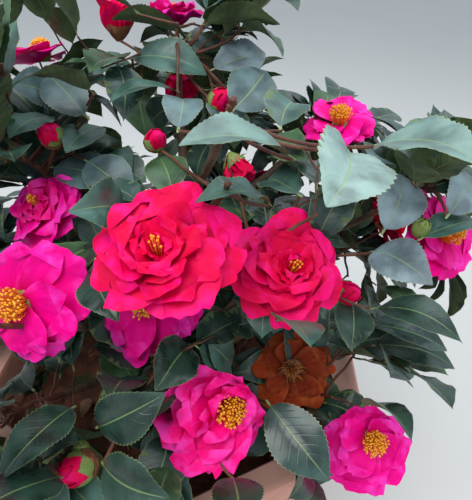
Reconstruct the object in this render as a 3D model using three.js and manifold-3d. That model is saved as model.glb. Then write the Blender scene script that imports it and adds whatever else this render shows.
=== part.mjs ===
// Camellia shrub in flower, with its six-sided pot.
// Millimetres, Z up. The origin is the centre of the pot's flat underside.
// X runs across the view, Y away from the viewer. Heights in the tables are above the pot's rim.
import * as THREE from "three";
import Module from "manifold-3d";
import { mergeVertices } from "three/addons/utils/BufferGeometryUtils.js";

const wasm = await Module();
wasm.setup();

// Driving dimensions of the pot
const POT_HEIGHT = 290;
const OPENING_APOTHEM = 162.5;
const RIM_WIDTH = 28;
const BASE_APOTHEM = 128;
const WALL = 3.5;
const LIP_DROP = 14;
const FLOOR = 5;
const DRAIN_RADIUS = 6;
const DRAIN_RING = 78;
const SOIL_DEPTH = 45;
const SOIL_CROWN = 6;
const SOIL_CROWN_SHARE = 0.45;
const DRAIN_HOLES = 6;
const DRAIN_SIDES = 8;

// Driving dimensions of the limbs
const TRUNK_FOOT_RADIUS = 11;
const TRUNK_TIP_RADIUS = 3.4;
const FLARE = 1.65;
const FLARE_SHARE = 0.1;
const BOUGH_ROOT_RADIUS = 5.2;
const BOUGH_TIP_RADIUS = 2.8;
const BOUGH_TO_TRUNK = 0.72;
const BOUGH_BEND = 0.45;
const FIRST_FORK = -28;
const FORK_STEP = 13;
const BOUGH_RISE = 0.25;
const BOUGH_TESTS = 30;
const TRUNK_TESTS = 60;
const UPRIGHT_LIMB = 0.05;
const LIMB_SIDES = 5;
const LIMB_STEPS = 6;
const TRUNK_SIDES = 7;
const TRUNK_STEPS = 10;
const GAP = 0.3;

// How finely the surfaces are closed up
const SHORTEST_EDGES = [0.05, 0.12];
const FINE_NEARNESS = 1e-4;
const MIDDLE_NEARNESS = 2e-4;
const COARSE_NEARNESS = 1e-3;
const MERGING_NEARNESS = 0.002;

// Driving dimensions of the crown
const CROWN_CENTRE = [5, -5, 150];
const CROWN_RADII = [255, 252, 226];
const CELL_MARGIN = 1.4;
const LOWEST_LEAF = 6;
const CROWN_FOOT = 60;
const STEM_RADIUS = 2.4;
const STEM_SIDES = 4;
const STEM_INNER = 46;
const STEM_INNER_STEP = 4;
const STEM_INNER_ROOM = 5;
const STEM_OUTER = 14;
const SHOOTS_FROM = 0.3;
const SHOOTS_SPAN = 0.7;
const SHOOT_RADIUS = 1.7;
const SHOOT_TIP_RADIUS = 1.2;
const SHOOT_REACH = 72;
const SHOOT_REACH_SPREAD = [0.75, 0.45];
const SHOOT_TILT = [0.35, 1.15];
const SHOOT_TURN = 6;
const SHORTEST_SHOOT = 24;
const SHOOT_SHRINK = 0.86;
const SHOOT_END_ROOM = 14;
const SHOOT_ROOM = 2.2;
const SHOOT_CLEARANCE = 2.5;
const SHOOT_LIMIT = 0.8;
const LEAF_LIMIT = 1.05;
const LEAF_LENGTH = 74;
const LEAF_LENGTH_SPREAD = 14;
const LEAF_WIDTH_SHARE = 0.55;
const LEAF_THICKNESS = 1.3;
const LEAF_FOLD = 0.16;
const LEAF_DROOP = 0.1;
const LEAF_SPACING = 11;
const LEAF_NECK = 3;
const LEAF_ROOT = 2;
const LEAF_MIDDLE = 0.46;
const LEAF_SIDE = 1.08;
const LEAF_MIDLINE_TESTS = [0.15, LEAF_MIDDLE, 0.75, 1];
const LEAF_EDGE_TESTS = [[LEAF_MIDDLE, LEAF_SIDE], [0.22, 0.75], [0.72, 0.75], [LEAF_MIDDLE, 0.5]];
const LEAF_TRIES = 15;
const LEAVES_FROM = 0.25;
const LEAVES_SPAN = 0.73;
const LEAFY_SHARE = 0.75;
const UPRIGHT_SHOOT = 0.1;
const LEAF_OPENING = 1.05;
const LEAF_OPENING_FALL = 0.35;
const LEAF_OPENING_SPREAD = 0.3;
const LEAF_CLOSING = 0.2;
const LEAF_SHRINK = 0.08;
const LEAF_TILT = 0.7;
const LEAF_OUTWARD = 0.55;
const STEEPEST_LEAF = 0.92;
const LIMB_CLEARANCE = 5.5;
const DIVERGENCE = 2.4;
const TWIG_SIDES = 3;

// Driving dimensions of the flowers, as shares of a flower's radius
const BLOOM_PROFILE = [
  [0, -0.42],
  [1, 0.06],
  [0.4, 0],
  [0, 0.2],
];
const BLOOM_FOOT = 0.36;
const PETALS = 5;
const PETAL_NOTCH = 0.06;
const BLOOM_SIGHT = 0.8;
const BLOOM_BEHIND = 0.1;
const BUD_STRETCH = 1.25;
const BUD_SIDES = 5;
const BUD_RINGS = 3;

// Foliage masses: place of the middle, and how many seeded shoots each one has
const MASSES = {
  crest_front: { site: [50, -115, 295], shoots: 4 },
  high_front: { site: [50, -120, 250], shoots: 3 },
  right_front: { site: [80, -100, 200], shoots: 3 },
  left_front: { site: [-85, -160, 165], shoots: 4 },
  low_front: { site: [10, -130, 105], shoots: 3 },
  left_low: { site: [-90, -160, 85], shoots: 4 },
  right_low: { site: [135, -90, 40], shoots: 4 },
  right_high: { site: [205, -15, 205], shoots: 4 },
  right_back_high: { site: [130, 85, 220], shoots: 4 },
  crest: { site: [0, 55, 295], shoots: 5 },
  left_high: { site: [-120, -10, 210], shoots: 4 },
  left_back_high: { site: [-150, 135, 215], shoots: 4 },
  back_high: { site: [20, 170, 190], shoots: 5 },
  right_back_low: { site: [165, 60, 90], shoots: 5 },
  back_low: { site: [40, 165, 70], shoots: 5 },
  left_back_low: { site: [-105, 140, 80], shoots: 5 },
  left_side_low: { site: [-185, 10, 80], shoots: 5 },
};

// Blooms: mass, centre, radius, and the way the flower faces
const BLOOMS = [
  { mass: "high_front", at: [18, -151, 231], radius: 39, faces: [0, -0.5, 0.87] },
  { mass: "right_front", at: [93, -114, 196], radius: 37, faces: [0.1, -0.6, 0.8] },
  { mass: "left_front", at: [-72, -142, 172], radius: 37, faces: [-0.25, -0.8, 0.5] },
  { mass: "left_high", at: [-96, -47, 188], radius: 32, faces: [-0.4, -0.4, 0.8] },
  { mass: "low_front", at: [-3, -115, 137], radius: 33, faces: [-0.1, -0.85, 0.5] },
  { mass: "low_front", at: [51, -164, 86], radius: 37, faces: [0.35, -0.75, 0.55] },
  { mass: "right_low", at: [176, -140, 34], radius: 33, faces: [0.1, -0.8, 0.6] },
  { mass: "right_low", at: [115, -93, 66], radius: 35, faces: [0, -0.8, 0.6] },
  { mass: "right_front", at: [51, -23, 222], radius: 21, faces: [0.45, -0.35, -0.6] },
  { mass: "right_high", at: [222, -49, 186], radius: 35, faces: [0.5, -0.5, 0.6] },
  { mass: "right_back_high", at: [149, 78, 231], radius: 32, faces: [-0.15, -0.35, 0.9] },
  { mass: "crest", at: [-63, 97, 295], radius: 27, faces: [0, 0.1, 1] },
  { mass: "crest", at: [-5, 83, 257], radius: 24, faces: [0.3, -0.6, -0.4] },
  { mass: "crest", at: [-16, 115, 305], radius: 29, faces: [0, 0.2, 0.9] },
  { mass: "left_back_high", at: [-165, 160, 255], radius: 30, faces: [-0.3, 0.3, 0.8] },
  { mass: "back_high", at: [30, 215, 225], radius: 37, faces: [0.1, 0.8, 0.5] },
  { mass: "back_low", at: [85, 205, 95], radius: 35, faces: [0.3, 0.8, 0.4] },
  { mass: "right_back_low", at: [222, 70, 120], radius: 36, faces: [0.9, 0.2, 0.3] },
  { mass: "left_back_low", at: [-150, 185, 110], radius: 36, faces: [-0.5, 0.7, 0.4] },
  { mass: "left_side_low", at: [-232, 5, 120], radius: 35, faces: [-0.9, -0.1, 0.4] },
];

// Buds: mass, centre, radius and the way the tip points
const BUDS = [
  { mass: "left_high", at: [-93, -16, 235], radius: 10, faces: [-0.2, -0.5, 0.8] },
  { mass: "high_front", at: [-3, -53, 251], radius: 8, faces: [0.3, -0.6, 0.8] },
  { mass: "crest", at: [39, 8, 263], radius: 10, faces: [0.5, -0.6, 0.6] },
  { mass: "left_low", at: [-41, -191, 64], radius: 12, faces: [-0.5, -0.7, 0.3] },
  { mass: "left_low", at: [-42, -176, 66], radius: 6, faces: [0.1, -0.5, 0.9] },
  { mass: "right_front", at: [143, -93, 156], radius: 10, faces: [0.6, -0.5, 0.5] },
  { mass: "right_high", at: [193, -71, 204], radius: 6.5, faces: [0.1, -0.4, 0.9] },
  { mass: "back_high", at: [-15, 220, 180], radius: 10, faces: [-0.2, 0.8, 0.5] },
];

// Leading leaves, the large ones that shape the crown from the front: mass, base, tip, width
const SKY = [0, 0, 1];
const FRONT = [0.1, -0.8, 0.6];
const AWAY = [0, 0.6, 0.8];
const SLOPED = [0, -0.5, 0.87];
const LEADING_LEAVES = [
  { mass: "crest_front", base: [86, -137, 279], tip: [25, -159, 292], width: 33, face: SKY },
  { mass: "crest_front", base: [111, -152, 292], tip: [94, -211, 290], width: 38, face: FRONT },
  { mass: "crest_front", base: [136, -108, 278], tip: [172, -169, 300], width: 40, face: SLOPED },
  { mass: "crest_front", base: [19, -98, 276], tip: [16, -51, 284], width: 26, face: FRONT },
  { mass: "left_high", base: [-56, -14, 268], tip: [-96, -63, 290], width: 34, face: AWAY },
  { mass: "left_high", base: [-64, -8, 247], tip: [-108, 29, 271], width: 36, face: FRONT },
  { mass: "crest", base: [8, 51, 299], tip: [-59, 67, 311], width: 32, face: AWAY },
  { mass: "crest", base: [-39, 45, 280], tip: [28, 33, 277], width: 36, face: SLOPED },
  { mass: "crest", base: [20, 58, 308], tip: [84, 31, 318], width: 34, face: AWAY },
  { mass: "crest", base: [50, 66, 303], tip: [88, 23, 296], width: 30, face: AWAY },
  { mass: "crest", base: [28, 47, 275], tip: [76, 85, 286], width: 36, face: SLOPED },
  { mass: "crest", base: [5, 6, 267], tip: [-41, -35, 273], width: 26, face: SKY },
  { mass: "crest", base: [49, -21, 264], tip: [75, 21, 287], width: 40, face: FRONT },
  { mass: "high_front", base: [15, -93, 228], tip: [-2, -51, 239], width: 30, face: FRONT },
  { mass: "high_front", base: [78, -108, 234], tip: [32, -135, 250], width: 30, face: SKY },
  { mass: "high_front", base: [-14, -110, 226], tip: [-30, -159, 252], width: 32, face: FRONT },
  { mass: "left_front", base: [-32, -129, 190], tip: [-8, -172, 186], width: 28, face: FRONT },
  { mass: "right_high", base: [164, -75, 200], tip: [183, -28, 229], width: 38, face: FRONT },
  { mass: "right_high", base: [210, -67, 212], tip: [236, -23, 232], width: 32, face: FRONT },
  { mass: "right_high", base: [192, -77, 197], tip: [247, -54, 203], width: 30, face: SKY },
  { mass: "right_front", base: [155, -92, 193], tip: [182, -144, 205], width: 32, face: FRONT },
  { mass: "right_front", base: [149, -88, 146], tip: [143, -139, 141], width: 30, face: FRONT },
  { mass: "low_front", base: [-24, -184, 103], tip: [22, -182, 138], width: 34, face: FRONT },
  { mass: "low_front", base: [29, -119, 118], tip: [13, -175, 130], width: 34, face: FRONT },
  { mass: "low_front", base: [66, -190, 65], tip: [72, -237, 87], width: 34, face: FRONT },
  { mass: "low_front", base: [-18, -199, 87], tip: [31, -229, 101], width: 38, face: FRONT },
  { mass: "left_low", base: [-45, -168, 100], tip: [-72, -230, 108], width: 34, face: SKY },
  { mass: "left_low", base: [-45, -206, 78], tip: [-72, -251, 118], width: 34, face: SKY },
  { mass: "right_low", base: [90, -140, 85], tip: [135, -190, 65], width: 40, face: FRONT },
  { mass: "right_low", base: [164, -90, 124], tip: [232, -100, 110], width: 32, face: SKY },
  { mass: "left_high", base: [-61, 23, 228], tip: [-77, -35, 228], width: 30, face: SLOPED },
  { mass: "left_high", base: [-102, 35, 245], tip: [-119, -14, 273], width: 34, face: FRONT },
  { mass: "left_high", base: [-96, 3, 241], tip: [-110, -53, 244], width: 28, face: SLOPED },
  { mass: "crest", base: [5, 6, 260], tip: [-23, 33, 229], width: 28, face: FRONT },
  { mass: "right_front", base: [101, -77, 226], tip: [76, -27, 214], width: 30, face: SLOPED },
];

// Colours
const COLOURS = {
  pot: 0xc98e7e,
  soil: 0x4a2c22,
  bark: 0x5a3b2c,
  foliage: 0x2f4f3c,
};

const UP = new THREE.Vector3(0, 0, 1);
const vector = (list) => new THREE.Vector3(...list);
const raised = (list) => new THREE.Vector3(list[0], list[1], list[2] + POT_HEIGHT);

// Repeatable numbers from 0 to 1, from a 32-bit state
function numbers(seed) {
  let state = (seed * 2654435761) >>> 0;
  return () => {
    state = (state + 0x6d2b79f5) >>> 0;
    let mixed = Math.imul(state ^ (state >>> 15), state | 1);
    mixed ^= mixed + Math.imul(mixed ^ (mixed >>> 7), mixed | 61);
    return ((mixed ^ (mixed >>> 14)) >>> 0) / 4294967296;
  };
}

// A closed geometry as a solid: shared vertices merged, collapsed faces dropped, faces turned out
function solid(geometry, nearness = FINE_NEARNESS) {
  const bare = geometry.clone();
  bare.deleteAttribute("normal");
  bare.deleteAttribute("uv");
  const merged = mergeVertices(bare, nearness);
  const places = merged.attributes.position.array;
  const corners = merged.index.array;
  const faces = [];
  let volume = 0;
  for (let i = 0; i < corners.length; i += 3) {
    const [a, b, c] = [corners[i], corners[i + 1], corners[i + 2]];
    if (a === b || b === c || c === a) continue;
    faces.push(a, b, c);
    const [p, q, r] = [a, b, c].map((k) => new THREE.Vector3().fromArray(places, 3 * k));
    volume += p.dot(q.cross(r));
  }
  if (volume < 0) faces.reverse();
  const mesh = new wasm.Mesh({
    numProp: 3,
    vertProperties: Float32Array.from(places),
    triVerts: Uint32Array.from(faces),
  });
  return new wasm.Manifold(mesh);
}

// The surface of a solid, as a geometry
function surfaceOf(body) {
  const mesh = body.getMesh();
  const geometry = new THREE.BufferGeometry();
  geometry.setAttribute("position", new THREE.Float32BufferAttribute(mesh.vertProperties, 3));
  geometry.setIndex(Array.from(mesh.triVerts));
  return geometry;
}

function largestPiece(body) {
  const pieces = body.decompose();
  pieces.sort((a, b) => b.volume() - a.volume());
  return surfaceOf(pieces[0]);
}

// True where exactly two faces meet at every edge, once vertices nearer than a limit are one
function isWatertight(geometry, nearness) {
  const merged = mergeVertices(geometry, nearness);
  const corners = merged.index.array;
  const count = merged.attributes.position.count;
  const uses = new Map();
  for (let i = 0; i < corners.length; i += 3) {
    const face = [corners[i], corners[i + 1], corners[i + 2]];
    if (new Set(face).size < 3) continue;
    face.forEach((a, k) => {
      const b = face[(k + 1) % 3];
      const edge = Math.min(a, b) * count + Math.max(a, b);
      uses.set(edge, (uses.get(edge) ?? 0) + 1);
    });
  }
  return [...uses.values()].every((times) => times === 2);
}

// One sound body as a geometry, its smallest edges closed up and loose scraps left out, or null
function soundGeometry(body) {
  for (const shortest of SHORTEST_EDGES) {
    const geometry = largestPiece(solid(largestPiece(body.simplify(shortest)), MERGING_NEARNESS));
    const remade = surfaceOf(solid(geometry, COARSE_NEARNESS));
    const limits = [FINE_NEARNESS, MIDDLE_NEARNESS, COARSE_NEARNESS];
    if (limits.every((nearness) => isWatertight(remade, nearness))) return geometry;
  }
  return null;
}

function namedMesh(name, body, colour, roughness) {
  const material = new THREE.MeshStandardMaterial({ color: colour, roughness, metalness: 0 });
  const geometry = soundGeometry(body);
  geometry.computeVertexNormals();
  const mesh = new THREE.Mesh(geometry, material);
  mesh.name = name;
  return mesh;
}

// A six-sided turned shape with flats square to X, from a profile of apothem and height
function sixSided(profile) {
  const corner = 1 / Math.cos(Math.PI / 6);
  const points = profile.map(([apothem, height]) => new THREE.Vector2(apothem * corner, height));
  const geometry = new THREE.LatheGeometry(points, 6);
  geometry.rotateX(Math.PI / 2);
  return solid(geometry);
}

// Apothem of the pot's inner wall at a height
function innerApothem(height) {
  const share = (height - FLOOR) / (POT_HEIGHT - FLOOR);
  return THREE.MathUtils.lerp(BASE_APOTHEM - WALL, OPENING_APOTHEM, share);
}

// Pot: tapered wall, flat rim with its edge turned down, floor with six drain holes
function potBody() {
  const rim = OPENING_APOTHEM + RIM_WIDTH;
  let body = sixSided([
    [0, 0],
    [BASE_APOTHEM, 0],
    [OPENING_APOTHEM + WALL, POT_HEIGHT - WALL],
    [rim - WALL, POT_HEIGHT - WALL],
    [rim - WALL, POT_HEIGHT - LIP_DROP],
    [rim, POT_HEIGHT - LIP_DROP],
    [rim, POT_HEIGHT],
    [OPENING_APOTHEM, POT_HEIGHT],
    [innerApothem(FLOOR), FLOOR],
    [0, FLOOR],
  ]);
  for (let k = 0; k < DRAIN_HOLES; k += 1) {
    const hole = new THREE.CylinderGeometry(DRAIN_RADIUS, DRAIN_RADIUS, 4 * FLOOR, DRAIN_SIDES);
    const turn = (2 * Math.PI * k) / DRAIN_HOLES;
    hole.rotateX(Math.PI / 2);
    hole.translate(DRAIN_RING * Math.cos(turn), DRAIN_RING * Math.sin(turn), 0);
    body = body.subtract(solid(hole));
  }
  return body;
}

// Soil: fills the pot to below the rim, a little higher round the stem
function soilBody() {
  const top = POT_HEIGHT - SOIL_DEPTH;
  const edge = top - SOIL_CROWN;
  return sixSided([
    [0, FLOOR + GAP],
    [innerApothem(FLOOR) - GAP, FLOOR + GAP],
    [innerApothem(edge) - GAP, edge],
    [innerApothem(edge) * SOIL_CROWN_SHARE, top],
    [0, top],
  ]);
}

// A limb: a many-sided bar bent along a curve, its radius given along the way
function limb(curve, radiusAt, sides, steps) {
  const geometry = new THREE.CylinderGeometry(1, 1, 1, sides, steps);
  const chord = curve.getPoint(1).sub(curve.getPoint(0));
  const across = new THREE.Vector3().crossVectors(chord, UP);
  if (across.length() < UPRIGHT_LIMB * chord.length()) across.set(1, 0, 0);
  const places = geometry.attributes.position;
  for (let i = 0; i < places.count; i += 1) {
    const t = THREE.MathUtils.clamp(places.getY(i) + 0.5, 0, 1);
    const along = curve.getTangent(t);
    const right = across.clone().addScaledVector(along, -across.dot(along)).normalize();
    const back = new THREE.Vector3().crossVectors(right, along);
    const point = curve.getPoint(t);
    point.addScaledVector(right, places.getX(i) * radiusAt(t));
    point.addScaledVector(back, places.getZ(i) * radiusAt(t));
    places.setXYZ(i, point.x, point.y, point.z);
  }
  return solid(geometry);
}

const tapered = (start, end) => (t) => start + (end - start) * t;

// Trunk: leans back to the crest, flared at its flat foot on the soil
const trunkCurve = new THREE.CatmullRomCurve3([
  new THREE.Vector3(-4, -4, POT_HEIGHT - SOIL_DEPTH - 8),
  new THREE.Vector3(2, 2, POT_HEIGHT + 20),
  new THREE.Vector3(10, 16, POT_HEIGHT + 130),
  new THREE.Vector3(2, 44, POT_HEIGHT + 250),
]);

function trunkRadius(t) {
  const flare = 1 + (FLARE - 1) * Math.max(0, 1 - t / FLARE_SHARE) ** 2;
  return THREE.MathUtils.lerp(TRUNK_FOOT_RADIUS, TRUNK_TIP_RADIUS, t) * flare;
}

// Share of the trunk's curve at a height
function trunkShareAt(height) {
  let low = 0;
  let high = 1;
  for (let k = 0; k < 30; k += 1) {
    const middle = (low + high) / 2;
    if (trunkCurve.getPoint(middle).z < height) low = middle;
    else high = middle;
  }
  return low;
}

const massNames = Object.keys(MASSES);
const sites = massNames.map((name) => raised(MASSES[name].site));

// Room between a point and the edge of a mass's own space, which the masses share out evenly
function roomInCell(index, point) {
  let room = Infinity;
  sites.forEach((other, k) => {
    if (k === index) return;
    const toOther = other.clone().sub(sites[index]);
    const span = toOther.length();
    const reach = point.clone().sub(sites[index]).dot(toOther) / span;
    room = Math.min(room, span / 2 - reach);
  });
  return room;
}

// Boughs: each leaves the trunk above the last one, the lowest masses first
function boughPlans() {
  const order = massNames
    .map((name, index) => ({ name, index, height: MASSES[name].site[2] }))
    .filter((entry) => entry.name !== "crest")
    .sort((a, b) => a.height - b.height || a.index - b.index);
  return order.map((entry, rank) => {
    const share = trunkShareAt(POT_HEIGHT + FIRST_FORK + rank * FORK_STEP);
    const root = trunkCurve.getPoint(share);
    const site = sites[entry.index];
    const heading = site.clone().sub(root).normalize().addScaledVector(UP, BOUGH_RISE).normalize();
    let back = STEM_INNER;
    while (roomInCell(entry.index, site.clone().addScaledVector(heading, -back)) < STEM_INNER_ROOM) {
      back -= STEM_INNER_STEP;
    }
    const tip = site.clone().addScaledVector(heading, -back);
    const bend = tip.clone().addScaledVector(heading, -BOUGH_BEND * tip.distanceTo(root));
    const curve = new THREE.QuadraticBezierCurve3(root, bend, tip);
    const rootRadius = Math.min(BOUGH_ROOT_RADIUS, BOUGH_TO_TRUNK * trunkRadius(share));
    return { ...entry, curve, tip, rootRadius };
  });
}

const plans = boughPlans();

// Sample points of the trunk and boughs with their radii, for keeping foliage clear of them
function limbSamples() {
  const samples = [];
  for (let k = 0; k <= TRUNK_TESTS; k += 1) {
    const t = k / TRUNK_TESTS;
    samples.push({ point: trunkCurve.getPoint(t), radius: trunkRadius(t) });
  }
  plans.forEach((plan) => {
    for (let k = 0; k <= BOUGH_TESTS; k += 1) {
      const t = k / BOUGH_TESTS;
      const radius = THREE.MathUtils.lerp(plan.rootRadius, BOUGH_TIP_RADIUS, t);
      samples.push({ point: plan.curve.getPoint(t), radius });
    }
  });
  return samples;
}

const limbs = limbSamples();

const clearOfLimbs = (point, clearance) =>
  limbs.every((sample) => sample.point.distanceTo(point) > sample.radius + clearance);

function insideCrown(point, share = 1) {
  const [x, y, z] = point.clone().sub(raised(CROWN_CENTRE)).toArray();
  const [a, b, c] = CROWN_RADII;
  return (x / a) ** 2 + (y / b) ** 2 + (z / c) ** 2 <= share ** 2;
}

const bloomPlaces = BLOOMS.map((bloom) => ({
  ...bloom,
  centre: raised(bloom.at),
  axis: vector(bloom.faces).normalize(),
}));

// True where a point would stand in or in front of a flower
function hidesBloom(point) {
  return bloomPlaces.some((bloom) => {
    const offset = point.clone().sub(bloom.centre);
    const ahead = offset.dot(bloom.axis);
    const aside = offset.addScaledVector(bloom.axis, -ahead).length();
    const level = ahead > -BLOOM_BEHIND * bloom.radius && ahead < bloom.radius;
    return level && aside < BLOOM_SIGHT * bloom.radius;
  });
}

// A leaf's frame: along its midrib, across the blade, and out of its upper face
function leafFrame(base, tip, face) {
  const along = tip.clone().sub(base).normalize();
  const normal = face.clone().addScaledVector(along, -face.dot(along)).normalize();
  const across = new THREE.Vector3().crossVectors(normal, along);
  return { along, normal, across, length: tip.distanceTo(base) };
}

// A point of the blade: share of its length, share of its half width, and height over the midrib
function leafPoint(leaf, share, side, lift) {
  const frame = leaf.frame;
  const halfWidth = 0.5 * leaf.width * side;
  const arch = LEAF_DROOP * frame.length * 4 * share * (1 - share);
  return leaf.base
    .clone()
    .addScaledVector(frame.along, share * frame.length)
    .addScaledVector(frame.across, halfWidth)
    .addScaledVector(frame.normal, arch + Math.abs(halfWidth) * 2 * LEAF_FOLD + lift);
}

// The points that a leaf is tested at: its corners, midrib and edges
function leafSamples(leaf) {
  const list = LEAF_MIDLINE_TESTS.map((share) => leafPoint(leaf, share, 0, 0));
  for (const side of [-1, 1]) {
    LEAF_EDGE_TESTS.forEach(([share, edge]) => list.push(leafPoint(leaf, share, edge * side, 0)));
  }
  return list;
}

// True where a straight line from one point to another passes through a triangle
function pierces([from, to], [a, b, c]) {
  const span = to.clone().sub(from);
  const ray = new THREE.Ray(from, span.clone().normalize());
  const hit = ray.intersectTriangle(a, b, c, false, new THREE.Vector3());
  return hit !== null && hit.distanceTo(from) < span.length();
}

// The two halves of a blade as flat triangles from a little past its neck, and their edges
function bladeOutline(leaf) {
  const neck = leafPoint(leaf, LEAF_NECK / leaf.frame.length, 0, 0);
  const tip = leafPoint(leaf, 1, 0, 0);
  const left = leafPoint(leaf, LEAF_MIDDLE, LEAF_SIDE, 0);
  const right = leafPoint(leaf, LEAF_MIDDLE, -LEAF_SIDE, 0);
  const halves = [
    [neck, tip, left],
    [neck, right, tip],
  ];
  const edges = [
    [neck, tip],
    [neck, left],
    [left, tip],
    [neck, right],
    [right, tip],
  ];
  return { halves, edges };
}

const bladesCross = (one, other) =>
  one.edges.some((edge) => other.halves.some((half) => pierces(edge, half))) ||
  other.edges.some((edge) => one.halves.some((half) => pierces(edge, half)));

function leafFits(leaf, index, others, shoots) {
  const open = leaf.samples.every(
    (point) =>
      point.z > POT_HEIGHT + LOWEST_LEAF &&
      roomInCell(index, point) > CELL_MARGIN &&
      insideCrown(point, LEAF_LIMIT) &&
      !hidesBloom(point) &&
      clearOfLimbs(point, LIMB_CLEARANCE),
  );
  return (
    open &&
    !others.some((other) => bladesCross(leaf.outline, other.outline)) &&
    !shoots.some((shoot) => leaf.outline.halves.some((half) => pierces([shoot.v1, shoot.v2], half)))
  );
}

// A leaf blade of eight faces: four corners round its edge, one above and one below the midrib
function leafSolid(leaf) {
  const geometry = new THREE.SphereGeometry(1, 4, 2);
  const places = geometry.attributes.position;
  for (let i = 0; i < places.count; i += 1) {
    const [x, y, z] = [places.getX(i), places.getY(i), places.getZ(i)];
    let point;
    if (Math.abs(y) > 0.5) {
      point = leafPoint(leaf, LEAF_MIDDLE, 0, 0.5 * LEAF_THICKNESS * Math.sign(y));
    } else if (Math.abs(z) < 0.1) {
      point = leafPoint(leaf, x > 0 ? 1 : 0, 0, 0);
    } else {
      point = leafPoint(leaf, LEAF_MIDDLE, LEAF_SIDE * Math.sign(z), 0);
    }
    places.setXYZ(i, point.x, point.y, point.z);
  }
  return solid(geometry);
}

function makeLeaf(base, tip, width, face) {
  const leaf = { base, tip, width };
  leaf.frame = leafFrame(base, tip, face);
  leaf.samples = leafSamples(leaf);
  leaf.outline = bladeOutline(leaf);
  return leaf;
}

// Turns a shape made along its own Y axis so that the axis points another way, and moves it there
function placed(geometry, centre, axis) {
  const turn = new THREE.Quaternion().setFromUnitVectors(new THREE.Vector3(0, 1, 0), axis);
  geometry.applyQuaternion(turn);
  geometry.translate(centre.x, centre.y, centre.z);
  return solid(geometry);
}

// A flower: a cup of five petals whose tips stand further out than the notches between them
function bloomSolid(bloom) {
  const r = bloom.radius;
  const profile = BLOOM_PROFILE.map(([out, up]) => new THREE.Vector2(out * r, up * r));
  const geometry = new THREE.LatheGeometry(profile, 2 * PETALS);
  const places = geometry.attributes.position;
  for (let i = 0; i < places.count; i += 1) {
    const [x, y, z] = [places.getX(i), places.getY(i), places.getZ(i)];
    const lobe = 1 - Math.cos(PETALS * Math.atan2(z, x));
    const notch = 1 - (PETAL_NOTCH * lobe * Math.hypot(x, z)) / r;
    places.setXYZ(i, x * notch, y, z * notch);
  }
  return placed(geometry, bloom.centre, bloom.axis);
}

// A flower bud: an egg of overlapping scales, taken as one closed shape
function budSolid(bud) {
  const geometry = new THREE.SphereGeometry(bud.radius, BUD_SIDES, BUD_RINGS);
  geometry.scale(1, BUD_STRETCH, 1);
  return placed(geometry, bud.centre, bud.axis);
}

// True where a seeded shoot may end: well inside its mass's own space and the crown
const mayEndAt = (point, index) =>
  roomInCell(index, point) >= SHOOT_END_ROOM && insideCrown(point, SHOOT_LIMIT);

function shootIsClear(curve, index) {
  for (let k = 0; k <= 8; k += 1) {
    const point = curve.getPoint(k / 8);
    const room = roomInCell(index, point);
    const clear = room >= SHOOT_ROOM && clearOfLimbs(point, SHOOT_CLEARANCE);
    if (!clear || point.z < POT_HEIGHT + LOWEST_LEAF) return false;
  }
  return true;
}

// Leaves along a shoot: each turned on from the last, tried a few ways round until one fits
function leavesOnShoot(curve, index, random, outward, plan) {
  const leaves = [];
  const length = curve.getLength();
  const count = Math.max(2, Math.floor((LEAFY_SHARE * length) / LEAF_SPACING) + 2);
  const side = (2 * Math.PI) / TWIG_SIDES;
  const start = Math.floor(TWIG_SIDES * random());
  for (let k = 0; k < count; k += 1) {
    const t = LEAVES_FROM + (LEAVES_SPAN * k) / (count - 1);
    const base = curve.getPoint(t);
    const along = curve.getTangent(t);
    const sideways = new THREE.Vector3().crossVectors(along, UP);
    if (sideways.length() < UPRIGHT_SHOOT) sideways.set(1, 0, 0);
    sideways.normalize();
    const over = new THREE.Vector3().crossVectors(sideways, along);
    const fall = LEAF_OPENING_FALL * (k / (count - 1));
    const spread = LEAF_OPENING - fall + LEAF_OPENING_SPREAD * (random() - 0.5);
    const size = LEAF_LENGTH + LEAF_LENGTH_SPREAD * (random() - 0.5);
    const tilt = random() - 0.5;
    for (let attempt = 0; attempt < LEAF_TRIES; attempt += 1) {
      const angle = side * (start + k + attempt) - Math.PI / 2;
      const closed = Math.floor(attempt / TWIG_SIDES);
      const opening = spread - LEAF_CLOSING * closed;
      const heading = along
        .clone()
        .multiplyScalar(Math.cos(opening))
        .addScaledVector(sideways, Math.sin(opening) * Math.cos(angle))
        .addScaledVector(over, Math.sin(opening) * Math.sin(angle));
      const tip = base.clone().addScaledVector(heading, size * (1 - LEAF_SHRINK * closed));
      const face = outward.clone().multiplyScalar(LEAF_OUTWARD).add(UP);
      face.addScaledVector(new THREE.Vector3().crossVectors(heading, face), LEAF_TILT * tilt);
      const leaf = makeLeaf(base, tip, size * LEAF_WIDTH_SHARE, face);
      const slant = Math.abs(heading.dot(face.normalize()));
      const grown = plan.leaves.concat(leaves);
      if (slant < STEEPEST_LEAF && leafFits(leaf, index, grown, plan.shoots)) {
        leaves.push(leaf);
        break;
      }
    }
  }
  return leaves;
}

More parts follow.
